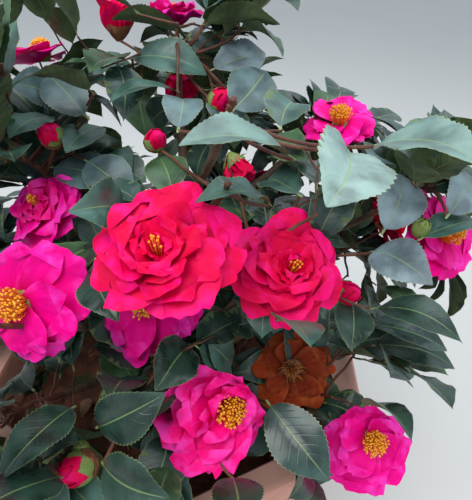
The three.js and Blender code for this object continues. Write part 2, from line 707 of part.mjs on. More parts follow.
// The plan of one mass: its stem, its shoots, and what they carry
function growMass(name, index) {
  const random = numbers(index + 11);
  const bough = plans.find((plan) => plan.name === name);
  const end = bough ? bough.curve : trunkCurve;
  const heading = end.getTangent(1);
  const foot = end.getPoint(1).addScaledVector(heading, GAP);
  const site = sites[index];
  const outward = site.clone().sub(raised([0, 0, CROWN_FOOT])).normalize();
  const stemLength = foot.distanceTo(site) + STEM_OUTER;
  const stem = new THREE.LineCurve3(foot, foot.clone().addScaledVector(heading, stemLength));
  const plan = { stem, shoots: [stem], leaves: [], blooms: [], buds: [] };
  const leafyShoots = [];
  const carried = [BLOOMS, BUDS, LEADING_LEAVES].flat().filter((entry) => entry.mass === name).length;
  const step = SHOOTS_SPAN / (carried + MASSES[name].shoots);
  const nextStart = () => stem.getPoint(SHOOTS_FROM + step * (plan.shoots.length - 0.5));
  const carry = (target, leafy) => {
    const curve = new THREE.LineCurve3(nextStart(), target);
    plan.shoots.push(curve);
    if (leafy) leafyShoots.push(curve);
  };
  bloomPlaces.filter((bloom) => bloom.mass === name).forEach((bloom) => {
    carry(bloom.centre.clone().addScaledVector(bloom.axis, -BLOOM_FOOT * bloom.radius), true);
    plan.blooms.push(bloom);
  });
  BUDS.filter((bud) => bud.mass === name).forEach((bud) => {
    const axis = vector(bud.faces).normalize();
    const centre = raised(bud.at);
    carry(centre.clone().addScaledVector(axis, -bud.radius), true);
    plan.buds.push({ ...bud, centre, axis });
  });
  LEADING_LEAVES.filter((entry) => entry.mass === name).forEach((entry) => {
    const base = raised(entry.base);
    const leaf = makeLeaf(base, raised(entry.tip), entry.width, vector(entry.face));
    carry(base, false);
    leaf.base = base.clone().addScaledVector(leaf.frame.along, -LEAF_ROOT);
    plan.leaves.push(leaf);
  });
  const side = new THREE.Vector3().crossVectors(outward, UP).normalize();
  const over = new THREE.Vector3().crossVectors(side, outward);
  const shoots = MASSES[name].shoots;
  for (let k = 0; k < shoots; k += 1) {
    const angle = DIVERGENCE * k + SHOOT_TURN * random();
    const tilt = SHOOT_TILT[0] + (SHOOT_TILT[1] * (k + 0.5)) / shoots;
    const aim = outward
      .clone()
      .multiplyScalar(Math.cos(tilt))
      .addScaledVector(side, Math.sin(tilt) * Math.cos(angle))
      .addScaledVector(over, Math.sin(tilt) * Math.sin(angle));
    let reach = SHOOT_REACH * (SHOOT_REACH_SPREAD[0] + SHOOT_REACH_SPREAD[1] * random());
    let target = site.clone().addScaledVector(aim, reach);
    while (reach > SHORTEST_SHOOT && !mayEndAt(target, index)) {
      reach *= SHOOT_SHRINK;
      target = site.clone().addScaledVector(aim, reach);
    }
    const curve = new THREE.LineCurve3(nextStart(), target);
    if (!shootIsClear(curve, index)) continue;
    plan.shoots.push(curve);
    leafyShoots.push(curve);
  }
  leafyShoots.forEach((curve) => {
    plan.leaves.push(...leavesOnShoot(curve, index, random, outward, plan));
  });
  return plan;
}

// One mass as a solid: stem, shoots, leaves, flowers and buds joined
function massBody(name, index) {
  const plan = growMass(name, index);
  let body = limb(plan.stem, tapered(STEM_RADIUS, SHOOT_RADIUS), STEM_SIDES, 1);
  plan.shoots.slice(1).forEach((curve) => {
    body = body.add(limb(curve, tapered(SHOOT_RADIUS, SHOOT_TIP_RADIUS), TWIG_SIDES, 1));
  });
  plan.blooms.forEach((bloom) => {
    body = body.add(bloomSolid(bloom));
  });
  plan.buds.forEach((bud) => {
    body = body.add(budSolid(bud));
  });
  plan.leaves.forEach((leaf) => {
    const grown = body.add(leafSolid(leaf));
    if (soundGeometry(grown)) body = grown;
  });
  return body;
}

// The trunk and the boughs, each bough cut clear of the trunk at its root
function addLimbs(group) {
  const size = 10 * TRUNK_FOOT_RADIUS;
  const below = new THREE.BoxGeometry(size, size, size);
  below.translate(0, 0, POT_HEIGHT - SOIL_DEPTH + GAP - size / 2);
  const trunk = limb(trunkCurve, trunkRadius, TRUNK_SIDES, TRUNK_STEPS).subtract(solid(below));
  group.add(namedMesh("trunk", trunk, COLOURS.bark, 0.85));
  const clearance = limb(trunkCurve, (t) => trunkRadius(t) + GAP, TRUNK_SIDES, TRUNK_STEPS);
  plans.forEach((plan) => {
    const bough = limb(plan.curve, tapered(plan.rootRadius, BOUGH_TIP_RADIUS), LIMB_SIDES, LIMB_STEPS);
    group.add(namedMesh(`bough_${plan.name}`, bough.subtract(clearance), COLOURS.bark, 0.85));
  });
}

const camellia = new THREE.Group();
camellia.add(namedMesh("pot", potBody(), COLOURS.pot, 0.5));
camellia.add(namedMesh("soil", soilBody(), COLOURS.soil, 1));
addLimbs(camellia);
massNames.forEach((name, index) => {
  camellia.add(namedMesh(`foliage_${name}`, massBody(name, index), COLOURS.foliage, 0.45));
});

export default camellia;
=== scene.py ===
"""Camellia shrub in flower, standing in its six-sided pot.

Tables and rules are in millimetres, with heights above the pot's rim, and each mesh is put into metres
as it is written. X runs across the view, Y away from the viewer and Z up.
"""

import sys

import logging
import math
from dataclasses import dataclass, field
from enum import Enum
from typing import Callable

import bpy
import numpy as np
from mathutils import Matrix


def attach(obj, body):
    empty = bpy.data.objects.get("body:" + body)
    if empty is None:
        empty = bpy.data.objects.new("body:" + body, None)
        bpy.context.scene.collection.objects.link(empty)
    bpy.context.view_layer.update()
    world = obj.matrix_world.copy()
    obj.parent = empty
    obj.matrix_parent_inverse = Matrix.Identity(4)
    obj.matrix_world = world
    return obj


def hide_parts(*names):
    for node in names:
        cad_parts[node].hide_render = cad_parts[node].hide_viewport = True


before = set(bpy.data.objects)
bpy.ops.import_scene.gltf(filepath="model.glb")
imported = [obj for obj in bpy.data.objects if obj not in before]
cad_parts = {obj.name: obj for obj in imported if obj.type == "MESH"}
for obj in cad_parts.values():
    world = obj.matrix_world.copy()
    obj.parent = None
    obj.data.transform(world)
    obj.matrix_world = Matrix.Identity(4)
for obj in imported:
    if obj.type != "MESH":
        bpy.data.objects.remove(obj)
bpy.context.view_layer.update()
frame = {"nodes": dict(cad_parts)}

logging.basicConfig(level=logging.INFO, format="%(message)s", stream=sys.stdout)
log = logging.getLogger("camellia")

Array = np.ndarray
Triple = tuple[float, float, float]
Socket = bpy.types.NodeSocket
Material = bpy.types.Material
Piece = bpy.types.Object
MILLIMETRE = 0.001
MASK = 0xFFFFFFFF
UP = np.array([0.0, 0.0, 1.0])
GOLDEN_ANGLE = 2.39996

# Sizes shared with the solids
POT_HEIGHT = 290.0
OPENING_APOTHEM = 162.5
RIM_WIDTH = 28.0
BASE_APOTHEM = 128.0
WALL = 3.5
LIP_DROP = 14.0
FLOOR = 5.0
DRAIN_RADIUS = 6.0
DRAIN_RING = 78.0
SOIL_DEPTH = 45.0
SOIL_CROWN = 6.0
TRUNK_FOOT_RADIUS = 11.0
TRUNK_TIP_RADIUS = 3.4
FLARE = 1.65
FLARE_SHARE = 0.1
BOUGH_ROOT_RADIUS = 5.2
BOUGH_TIP_RADIUS = 2.8
FIRST_FORK = -28.0
FORK_STEP = 13.0
BOUGH_RISE = 0.25
GAP = 0.3
CROWN_CENTRE = np.array([5.0, -5.0, 150.0])
CROWN_RADII = np.array([255.0, 252.0, 226.0])
CELL_MARGIN = 1.4
LOWEST_LEAF = 6.0
STEM_RADIUS = 2.4
STEM_INNER = 46.0
STEM_OUTER = 14.0
SHOOTS_FROM = 0.3
SHOOTS_SPAN = 0.7
SHOOT_REACH = 72.0
SHOOT_LIMIT = 0.8
LEAF_LIMIT = 1.05
LEAF_LENGTH = 74.0
LEAF_LENGTH_SPREAD = 14.0
LEAF_WIDTH_SHARE = 0.55
LEAF_FOLD = 0.16
LEAF_DROOP = 0.1
LEAF_SPACING = 11.0
LEAF_NECK = 3.0
LEAF_TRIES = 15
LEAF_MIDDLE = 0.46
LEAF_SIDE = 1.08
LIMB_CLEARANCE = 5.5
DIVERGENCE = 2.4
BOUGH_ROOM = 5.0
BOUGH_STEP = 4.0
BOUGH_BEND = 0.45
BOUGH_SHARE = 0.72
TILT_FROM = 0.35
TILT_SPAN = 1.15
REACH_FROM = 0.75
REACH_SPAN = 0.45
SHORTEST_REACH = 24.0
REACH_STEP = 0.86
SHOOT_ROOM = 14.0
LEAVES_FROM = 0.25
LEAVES_SPAN = 0.73
LEAF_OPENS = 1.05
LEAF_CLOSES = 0.35
LEAF_VARIES = 0.3
TRY_CLOSES = 0.2
TRY_SHRINKS = 0.08
FACE_OUT = 0.55
FACE_TILT = 0.7
GROWTH_SEED = 11
BLOOM_SEED = 100
BUD_SEED = 200
TWIG_SIDES = 3

# Sizes of the scene alone
TWIG_SEED = 401
LEAF_SEED = 601
BARK_SEED = 301
BLOOM_FOOT = 0.36
BLOOMS_IN_SIGHT = 165.0
NEAR_BLOOMS = 130.0
FINE_LIMIT = LEAF_LIMIT - 0.01
FACE_LIMIT = 0.92
# Height over which a mass's leaves take the paler tints: painted light from above
LONG_LEAF = 66.0
SKYLIT_MASS_HEIGHT = 200.0
LEAF_DISCS = ((0.15, 0.114), (0.35, 0.304), (0.55, 0.323), (0.75, 0.247), (0.92, 0.114))

# Foliage masses: place of the middle, and how many seeded shoots each one has
MASSES: dict[str, tuple[Triple, int]] = {
    "crest_front": ((50, -115, 295), 4),
    "high_front": ((50, -120, 250), 3),
    "right_front": ((80, -100, 200), 3),
    "left_front": ((-85, -160, 165), 4),
    "low_front": ((10, -130, 105), 3),
    "left_low": ((-90, -160, 85), 4),
    "right_low": ((135, -90, 40), 4),
    "right_high": ((205, -15, 205), 4),
    "right_back_high": ((130, 85, 220), 4),
    "crest": ((0, 55, 295), 5),
    "left_high": ((-120, -10, 210), 4),
    "left_back_high": ((-150, 135, 215), 4),
    "back_high": ((20, 170, 190), 5),
    "right_back_low": ((165, 60, 90), 5),
    "back_low": ((40, 165, 70), 5),
    "left_back_low": ((-105, 140, 80), 5),
    "left_side_low": ((-185, 10, 80), 5),
}


class BloomForm(Enum):
    """How far a flower has opened."""

    FULL = "full"
    DOUBLE = "double"
    OPEN = "open"
    STREAKED = "streaked"
    CUPPED = "cupped"
    OPENING = "opening"
    WITHERED = "withered"


# Blooms: mass, centre, radius, the way the flower faces, its form, and how far its heart stands to the
# right and up from its middle, over the radius
BLOOMS: list[tuple[str, tuple, float, tuple, BloomForm, tuple]] = [
    ("high_front", (18, -151, 231), 39, (0, -0.5, 0.87), BloomForm.FULL, (-0.12, -0.14)),
    ("right_front", (93, -114, 196), 37, (0.1, -0.6, 0.8), BloomForm.FULL, (0.14, -0.12)),
    ("left_front", (-72, -142, 172), 37, (-0.25, -0.8, 0.5), BloomForm.OPEN, (-0.42, -0.1)),
    ("left_high", (-96, -47, 188), 32, (-0.4, -0.4, 0.8), BloomForm.DOUBLE, (-0.25, 0.15)),
    ("low_front", (-3, -115, 137), 33, (-0.1, -0.85, 0.5), BloomForm.OPEN, (-0.05, 0.42)),
    ("low_front", (51, -164, 86), 37, (0.35, -0.75, 0.55), BloomForm.STREAKED, (0.36, 0.3)),
    ("right_low", (176, -140, 34), 33, (0.1, -0.8, 0.6), BloomForm.OPEN, (0.12, 0.25)),
    ("right_low", (115, -93, 66), 35, (0, -0.8, 0.6), BloomForm.WITHERED, (-0.05, 0.1)),
    ("right_front", (51, -23, 222), 21, (0.45, -0.35, -0.6), BloomForm.OPENING, (0.0, 0.3)),
    ("right_high", (222, -49, 186), 35, (0.5, -0.5, 0.6), BloomForm.OPEN, (0.2, 0.1)),
    ("right_back_high", (149, 78, 231), 32, (-0.15, -0.35, 0.9), BloomForm.OPEN, (0.0, 0.1)),
    ("crest", (-63, 97, 295), 27, (0, 0.1, 1), BloomForm.OPENING, (0.1, 0.0)),
    ("crest", (-5, 83, 257), 24, (0.3, -0.6, -0.4), BloomForm.OPENING, (0.0, 0.0)),
    ("crest", (-16, 115, 305), 29, (0, 0.2, 0.9), BloomForm.CUPPED, (0.1, 0.1)),
    ("left_back_high", (-165, 160, 255), 30, (-0.3, 0.3, 0.8), BloomForm.OPEN, (0.2, 0.1)),
    ("back_high", (30, 215, 225), 37, (0.1, 0.8, 0.5), BloomForm.FULL, (0.15, 0.1)),
    ("back_low", (85, 205, 95), 35, (0.3, 0.8, 0.4), BloomForm.OPEN, (-0.2, 0.1)),
    ("right_back_low", (222, 70, 120), 36, (0.9, 0.2, 0.3), BloomForm.FULL, (-0.1, 0.2)),
    ("left_back_low", (-150, 185, 110), 36, (-0.5, 0.7, 0.4), BloomForm.OPEN, (0.15, 0.15)),
    ("left_side_low", (-232, 5, 120), 35, (-0.9, -0.1, 0.4), BloomForm.STREAKED, (0.1, 0.2)),
]


class BudForm(Enum):
    """What covers a bud."""

    SHOWING = "pink tip showing between green scales"
    GREEN = "closed in green scales"


# Buds: mass, centre, radius, the way the tip points, and the form
BUDS: list[tuple[str, tuple, float, tuple, BudForm]] = [
    ("left_high", (-93, -16, 235), 10, (-0.2, -0.5, 0.8), BudForm.SHOWING),
    ("high_front", (-3, -53, 251), 8, (0.3, -0.6, 0.8), BudForm.SHOWING),
    ("crest", (39, 8, 263), 10, (0.5, -0.6, 0.6), BudForm.SHOWING),
    ("left_low", (-41, -191, 64), 12, (-0.5, -0.7, 0.3), BudForm.SHOWING),
    ("left_low", (-42, -176, 66), 6, (0.1, -0.5, 0.9), BudForm.GREEN),
    ("right_front", (143, -93, 156), 10, (0.6, -0.5, 0.5), BudForm.SHOWING),
    ("right_high", (193, -71, 204), 6.5, (0.1, -0.4, 0.9), BudForm.GREEN),
    ("back_high", (-15, 220, 180), 10, (-0.2, 0.8, 0.5), BudForm.SHOWING),
]


class Tint(Enum):
    """Leaf colours: the upper face, and its roughness. The paler blue-grey tints are painted sky reflection
    on the glossy face, laid over the leaf's own dark green.
    """

    DEEP = ((0.014, 0.040, 0.027), 0.28)
    # Painted reflection: every tint here except DEEP, GRASS and DUSK is the leaf's dark green made paler and
    # bluer, as the sky's sheen on it
    TEAL = ((0.040, 0.098, 0.078), 0.33)
    SLATE = ((0.070, 0.120, 0.125), 0.36)
    PALE = ((0.118, 0.195, 0.170), 0.42)
    GRASS = ((0.035, 0.085, 0.035), 0.33)
    MIST = ((0.150, 0.210, 0.235), 0.40)
    FROST = ((0.180, 0.265, 0.240), 0.45)
    DUSK = ((0.022, 0.052, 0.044), 0.26)


SKY = (0, 0, 1)
FRONT = (0.1, -0.8, 0.6)
AWAY = (0, 0.6, 0.8)
SLOPED = (0, -0.5, 0.87)

# Leading leaves, the large ones that shape the crown from the front: mass, base, tip, width, face, tint. The
# paler blue-grey tints are painted reflection of the sky on the leaves that catch it.
LEADING_LEAVES: list[tuple[str, tuple, tuple, float, tuple, Tint]] = [
    ("crest_front", (86, -137, 279), (25, -159, 292), 33, SKY, Tint.PALE),
    ("crest_front", (111, -152, 292), (94, -211, 290), 40, FRONT, Tint.FROST),
    ("crest_front", (136, -108, 278), (172, -169, 300), 40, SLOPED, Tint.PALE),
    ("crest_front", (19, -98, 276), (16, -51, 284), 26, FRONT, Tint.SLATE),
    ("left_high", (-56, -14, 268), (-96, -63, 290), 34, AWAY, Tint.DUSK),
    ("left_high", (-64, -8, 247), (-108, 29, 271), 36, FRONT, Tint.SLATE),
    ("crest", (8, 51, 299), (-59, 67, 311), 32, AWAY, Tint.DUSK),
    ("crest", (-39, 45, 280), (28, 33, 277), 36, SLOPED, Tint.TEAL),
    ("crest", (20, 58, 308), (84, 31, 318), 34, AWAY, Tint.SLATE),
    ("crest", (50, 66, 303), (88, 23, 296), 30, AWAY, Tint.GRASS),
    ("crest", (28, 47, 275), (76, 85, 286), 36, SLOPED, Tint.MIST),
    ("crest", (5, 6, 267), (-41, -35, 273), 26, SKY, Tint.TEAL),
    ("crest", (49, -21, 264), (75, 21, 287), 40, FRONT, Tint.SLATE),
    ("high_front", (15, -93, 228), (-2, -51, 239), 30, FRONT, Tint.GRASS),
    ("high_front", (78, -108, 234), (32, -135, 250), 30, SKY, Tint.TEAL),
    ("high_front", (-14, -110, 226), (-30, -159, 252), 32, FRONT, Tint.TEAL),
    ("left_front", (-32, -129, 190), (-8, -172, 186), 28, FRONT, Tint.DEEP),
    ("right_high", (164, -75, 200), (183, -28, 229), 38, FRONT, Tint.MIST),
    ("right_high", (210, -67, 212), (236, -23, 232), 32, FRONT, Tint.MIST),
    ("right_high", (192, -77, 197), (247, -54, 203), 30, SKY, Tint.TEAL),
    ("right_front", (155, -92, 193), (182, -144, 205), 32, FRONT, Tint.MIST),
    ("right_front", (149, -88, 146), (143, -139, 141), 30, FRONT, Tint.DEEP),
    ("low_front", (-24, -184, 103), (22, -182, 138), 34, FRONT, Tint.DEEP),
    ("low_front", (29, -119, 118), (13, -175, 130), 34, FRONT, Tint.DEEP),
    ("low_front", (66, -190, 65), (72, -237, 87), 34, FRONT, Tint.DEEP),
    ("low_front", (-18, -199, 87), (31, -229, 101), 38, FRONT, Tint.DEEP),
    ("left_low", (-45, -168, 100), (-72, -230, 108), 34, SKY, Tint.DEEP),
    ("left_low", (-45, -206, 78), (-72, -251, 118), 34, SKY, Tint.DEEP),
    ("right_low", (90, -140, 85), (135, -190, 65), 40, FRONT, Tint.DUSK),
    ("right_low", (164, -90, 124), (232, -100, 110), 32, SKY, Tint.DUSK),
    ("left_high", (-61, 23, 228), (-77, -35, 228), 30, SLOPED, Tint.TEAL),
    ("left_high", (-102, 35, 245), (-119, -14, 273), 34, FRONT, Tint.SLATE),
    ("left_high", (-96, 3, 241), (-110, -53, 244), 28, SLOPED, Tint.TEAL),
    ("crest", (5, 6, 260), (-23, 33, 229), 28, FRONT, Tint.DEEP),
    ("right_front", (101, -77, 226), (76, -27, 214), 30, SLOPED, Tint.TEAL),
]

# How far the sides of a leaf reach back past its base, by the base
LOBES = {(111, -152, 292): 0.34}


def unit(vectors: Array) -> Array:
    """Vectors along the last axis, each divided by its length."""
    return vectors / np.maximum(np.linalg.norm(vectors, axis=-1, keepdims=True), 1e-12)


def point(values: tuple | list) -> Array:
    """A table's triple as an array of floats."""
    return np.array(values, float)


def polar(reach: Array | float, turn: Array, height: Array | float = 0.0) -> Array:
    """Places by their distance from Z, their turn round it and their height: cosine, sine and height."""
    return np.stack(np.broadcast_arrays(reach * np.cos(turn), reach * np.sin(turn), height), axis=-1)


def spun(out: Array, aside: Array, turn: Array) -> tuple[Array, Array]:
    """X and Y of what stands out and aside, turned round Z by an angle."""
    return out * np.cos(turn) - aside * np.sin(turn), out * np.sin(turn) + aside * np.cos(turn)


def standing(right: Array, up: Array, back: Array, place: Array) -> Matrix:
    """The matrix of what stands at a place with its own three axes."""
    rows = np.stack([right, up, back, place], axis=1)
    return Matrix([*rows.tolist(), [0, 0, 0, 1]])


class Numbers:
    """Repeatable numbers from 0 to 1, from a 32-bit state."""

    def __init__(self, seed: int) -> None:
        """Starts the state from a seed."""
        self.state = (seed * 2654435761) & MASK

    def draw(self) -> float:
        """The next number from 0 to 1."""
        self.state = (self.state + 0x6D2B79F5) & MASK
        state = self.state
        mixed = ((state ^ (state >> 15)) * (state | 1)) & MASK
        mixed ^= (mixed + (((mixed ^ (mixed >> 7)) * (mixed | 61)) & MASK)) & MASK
        return ((mixed ^ (mixed >> 14)) & MASK) / 4294967296

    def array(self, count: int, low: float = 0.0, high: float = 1.0) -> Array:
        """Several numbers at once, spread from low to high."""
        return low + (high - low) * np.array([self.draw() for _ in range(count)])

    def for_each(self, count: int, *ranges: tuple[float, float]) -> list[Array]:
        """For each range a number for each of several copies, as copies by one by one."""
        return [self.array(count, low, high)[:, None, None] for low, high in ranges]


@dataclass(frozen=True)
class Viewpoint:
    """Where the plant is looked at from: place over the rim, pitch and roll, and focal length in pixels."""

    place: Triple = (58.85, -393.43, 390.0)
    pitch: float = math.radians(33.86)
    roll: float = math.radians(3.71)
    focal: float = 508.8
    width: int = 472
    height: int = 500
    sensor: float = 36.0

    def axes(self) -> Array:
        """The rows right, up and forward of the view, from its pitch and roll."""
        sp, cp = math.sin(self.pitch), math.cos(self.pitch)
        sr, cr = math.sin(self.roll), math.cos(self.roll)
        return np.array([[cr, sr * sp, sr * cp], [-sr, cr * sp, cr * cp], [0, cp, -sp]])

    def project(self, points: Array) -> Array:
        """Pixel column, pixel row and depth of points over the rim.

        Args:
            points: places in millimetres, along the last axis.

        Returns:
            For each point its column, row and depth: focal length times side over depth, from the middle.
        """
        local = (points - point(self.place)) @ self.axes().T
        depth = local[..., 2]
        column = self.width / 2 + self.focal * local[..., 0] / depth
        row = self.height / 2 - self.focal * local[..., 1] / depth
        return np.stack([column, row, depth], axis=-1)

    def unproject(self, column: float, row: float, depth: float) -> Array:
        """The place over the rim that a pixel shows at a depth."""
        right, up = (column - self.width / 2) / self.focal, (self.height / 2 - row) / self.focal
        return point(self.place) + point((right, up, 1)) * depth @ self.axes()

    def camera(self) -> None:
        """Makes the scene's camera, with the long side of the picture as its sensor width."""
        data = bpy.data.cameras.new("view")
        data.sensor_width = self.sensor
        data.lens = self.focal / self.height * self.sensor
        data.clip_start = 0.01
        data.clip_end = 100
        camera = bpy.data.objects.new("view", data)
        right, up, forward = self.axes()
        place = (point(self.place) + [0, 0, POT_HEIGHT]) * MILLIMETRE
        camera.matrix_world = standing(right, up, -forward, place)
        bpy.context.scene.collection.objects.link(camera)
        bpy.context.scene.camera = camera


VIEW = Viewpoint()


@dataclass(frozen=True, eq=False)
class Line:
    """A twig from one point to another, straight or drawn aside by a bow."""

    start: Array
    end: Array
    bow: Array = field(default_factory=lambda: np.zeros(3))

    def at(self, t: float | Array) -> Array:
        """The point at a share: start plus share times span, plus the bow by a parabola."""
        share = np.asarray(t)[..., None]
        return self.start + share * (self.end - self.start) + 4 * share * (1 - share) * self.bow

    def heading(self, t: float = 0.0) -> Array:
        """The direction at a share: the slope of the span and of the parabola."""
        return unit(self.end - self.start + 4 * (1 - 2 * t) * self.bow)

    def length(self) -> float:
        """The distance from start to end."""
        return float(np.linalg.norm(self.end - self.start))

    def cut(self, share: float) -> "Line":
        """The line up to a share of it: its bow shrinks by the share's square."""
        return Line(self.start, self.at(share), self.bow * share**2)


class Curve:
    """A curve given by a function of the share along it."""

    step = 0.0001

    def __init__(self, rule: Callable[[float], Array]) -> None:
        """Keeps the function that gives the point at a share."""
        self.rule = rule

    def at(self, t: float) -> Array:
        """The point at a share from 0 to 1."""
        return self.rule(float(t))

    def heading(self, t: float) -> Array:
        """The direction at a share, from two points close by."""
        low, high = max(0.0, t - self.step), min(1.0, t + self.step)
        return unit(self.at(high) - self.at(low))


def through_points(points: Array) -> Curve:
    """A smooth curve through points, with knots spaced by the root of the distance between them.

    Args:
        points: the points that it passes.

    Returns:
        The curve: between two points a cubic whose end slopes come from the neighbours on either side.
    """
    padded = np.vstack([2 * points[0] - points[1], points, 2 * points[-1] - points[-2]])
    last = len(points) - 1

    def rule(t: float) -> Array:
        """The point at a share of the knots."""
        whole = min(int(last * t), last - 1)
        w = last * t - whole
        p0, p1, p2, p3 = padded[whole : whole + 4]
        gaps = [float(np.sum((b - a) ** 2)) ** 0.25 for a, b in ((p0, p1), (p1, p2), (p2, p3))]
        s1 = (p1 - p0) / gaps[0] - (p2 - p0) / (gaps[0] + gaps[1]) + (p2 - p1) / gaps[1]
        s2 = (p2 - p1) / gaps[1] - (p3 - p1) / (gaps[1] + gaps[2]) + (p3 - p2) / gaps[2]
        s1, s2 = s1 * gaps[1], s2 * gaps[1]
        return p1 + s1 * w + (3 * (p2 - p1) - 2 * s1 - s2) * w**2 + (2 * (p1 - p2) + s1 + s2) * w**3

    return Curve(rule)


def bent(root: Array, bend: Array, tip: Array) -> Curve:
    """A curve from root to tip that is drawn towards a third point: the quadratic of the three."""
    return Curve(lambda t: (1 - t) ** 2 * root + 2 * t * (1 - t) * bend + t**2 * tip)


@dataclass(frozen=True)
class Limb:
    """The trunk or a bough: its curve and its radius along it."""

    name: str
    curve: Curve
    radius: Callable[[float], float]


class WoodyFrame:
    """The woody frame of the plant: the trunk, the boughs and the spaces that the masses share out."""

    def __init__(self) -> None:
        """Works out the trunk, the sites and the boughs as the solids have them."""
        self.names = list(MASSES)
        self.sites = np.array([MASSES[name][0] for name in self.names], float)
        knots = [(-4, -4, -SOIL_DEPTH - 8), (2, 2, 20), (10, 16, 130), (2, 44, 250)]
        self.trunk = Limb("trunk", through_points(np.array(knots, float)), self.trunk_radius)
        self.boughs = self.plan_boughs()
        points, radii = [], []
        for limb, steps in [(self.trunk, 60), *((bough, 30) for bough in self.boughs.values())]:
            shares = [k / steps for k in range(steps + 1)]
            points += [limb.curve.at(t) for t in shares]
            radii += [limb.radius(t) for t in shares]
        self.limb_points, self.limb_radii = np.array(points), np.array(radii)

    @staticmethod
    def trunk_radius(t: float) -> float:
        """Radius of the trunk: a straight taper, widened at the foot by a square law."""
        flare = 1 + (FLARE - 1) * max(0.0, 1 - t / FLARE_SHARE) ** 2
        return (TRUNK_FOOT_RADIUS + (TRUNK_TIP_RADIUS - TRUNK_FOOT_RADIUS) * t) * flare

    def trunk_share_at(self, height: float) -> float:
        """Share of the trunk's curve at a height, found by halving.

        Args:
            height: the height over the rim.

        Returns:
            The share from 0 to 1.
        """
        low, high = 0.0, 1.0
        for _ in range(30):
            middle = (low + high) / 2
            low, high = (middle, high) if self.trunk.curve.at(middle)[2] < height else (low, middle)
        return low

    def room(self, index: int, points: Array) -> Array:
        """Room between points and the edge of a mass's own space.

        Args:
            index: which mass.
            points: places, along the last axis.

        Returns:
            The distance to the nearest of the planes half way to the other sites.
        """
        others = np.delete(self.sites, index, axis=0) - self.sites[index]
        spans = np.linalg.norm(others, axis=1)
        return (spans / 2 - ((points - self.sites[index]) @ others.T) / spans).min(axis=-1)

    def plan_boughs(self) -> dict[str, Limb]:
        """The boughs by mass: each leaves the trunk above the last one, the lowest masses first."""
        order = [i for i in range(len(self.names)) if self.names[i] != "crest"]
        order.sort(key=lambda i: (self.sites[i][2], i))
        boughs = {}
        for rank, index in enumerate(order):
            share = self.trunk_share_at(FIRST_FORK + rank * FORK_STEP)
            root = self.trunk.curve.at(share)
            site = self.sites[index]
            heading = unit(unit(site - root) + UP * BOUGH_RISE)
            back = STEM_INNER
            while self.room(index, site - heading * back) < BOUGH_ROOM:
                back -= BOUGH_STEP
            tip = site - heading * back
            bend = tip - heading * BOUGH_BEND * np.linalg.norm(tip - root)
            start = min(BOUGH_ROOT_RADIUS, BOUGH_SHARE * self.trunk_radius(share))
            taper = self.taper(start, BOUGH_TIP_RADIUS)
            boughs[self.names[index]] = Limb(self.names[index], bent(root, bend, tip), taper)
        return boughs

    @staticmethod
    def taper(start: float, end: float) -> Callable[[float], float]:
        """A radius that falls evenly from start to end."""
        return lambda t: start + (end - start) * t

    def clear_of_limbs(self, points: Array, clearance: float) -> bool:
        """True where all points, as rows, are further than a clearance from the bark of every limb."""
        gaps = np.linalg.norm(points[:, None] - self.limb_points[None], axis=2)
        return bool((gaps > self.limb_radii + clearance).all())


def inside_crown(points: Array, share: float = 1.0) -> Array:
    """True for points inside the crown's egg, scaled by a share."""
    return (((points - CROWN_CENTRE) / CROWN_RADII) ** 2).sum(axis=-1) <= share**2


@dataclass
class Bloom:
    """A flower: its middle, radius, the way it faces and its form."""

    mass: str
    centre: Array
    radius: float
    axis: Array
    form: BloomForm
    seed: int
    heart: tuple[float, float] = (0.0, 0.0)

    def foot(self) -> Array:
        """Where the shoot that bears it ends: behind its middle by a share of its radius."""
        return self.centre - BLOOM_FOOT * self.radius * self.axis


@dataclass
class Bud:
    """A flower bud: its middle, radius, the way its tip points and its form."""

    centre: Array
    radius: float
    axis: Array
    form: BudForm
    seed: int

    def foot(self) -> Array:
        """Where the shoot that bears it ends: behind its middle by its radius."""
        return self.centre - self.radius * self.axis


BLOOM_PLACES = [
    Bloom(mass, point(at), radius, unit(point(faces)), form, BLOOM_SEED + k, heart)
    for k, (mass, at, radius, faces, form, heart) in enumerate(BLOOMS)
]
BLOOM_CENTRES = np.array([bloom.centre for bloom in BLOOM_PLACES])
BLOOM_AXES = np.array([bloom.axis for bloom in BLOOM_PLACES])
BLOOM_RADII = np.array([bloom.radius for bloom in BLOOM_PLACES])


def beside_blooms(points: Array) -> tuple[Array, Array]:
    """How far points stand ahead of each flower, and aside from its axis.

    Args:
        points: places as rows.

    Returns:
        Both as points by flowers: the offset along the axis, and the length of the rest of it.
    """
    offsets = points[:, None] - BLOOM_CENTRES
    ahead = (offsets * BLOOM_AXES).sum(axis=2)
    return ahead, np.linalg.norm(offsets - ahead[..., None] * BLOOM_AXES, axis=2)


def hides_bloom(points: Array) -> bool:
    """True where a point is less than a radius ahead of a flower and less than 0.8 of one aside."""
    ahead, aside = beside_blooms(points)
    return bool(((ahead > -0.1 * BLOOM_RADII) & (ahead < BLOOM_RADII) & (aside < 0.8 * BLOOM_RADII)).any())


def in_bloom(points: Array) -> bool:
    """True where one of the points stands among the petals of a flower.

    Args:
        points: places as rows.

    Returns:
        Whether any is over the cone of a flower's outer petals and less than a radius ahead and aside.
    """
    ahead, aside = beside_blooms(points)
    under = -0.46 * BLOOM_RADII + 0.4 * aside
    return bool(((ahead > under) & (ahead < 0.9 * BLOOM_RADII) & (aside < 1.02 * BLOOM_RADII)).any())


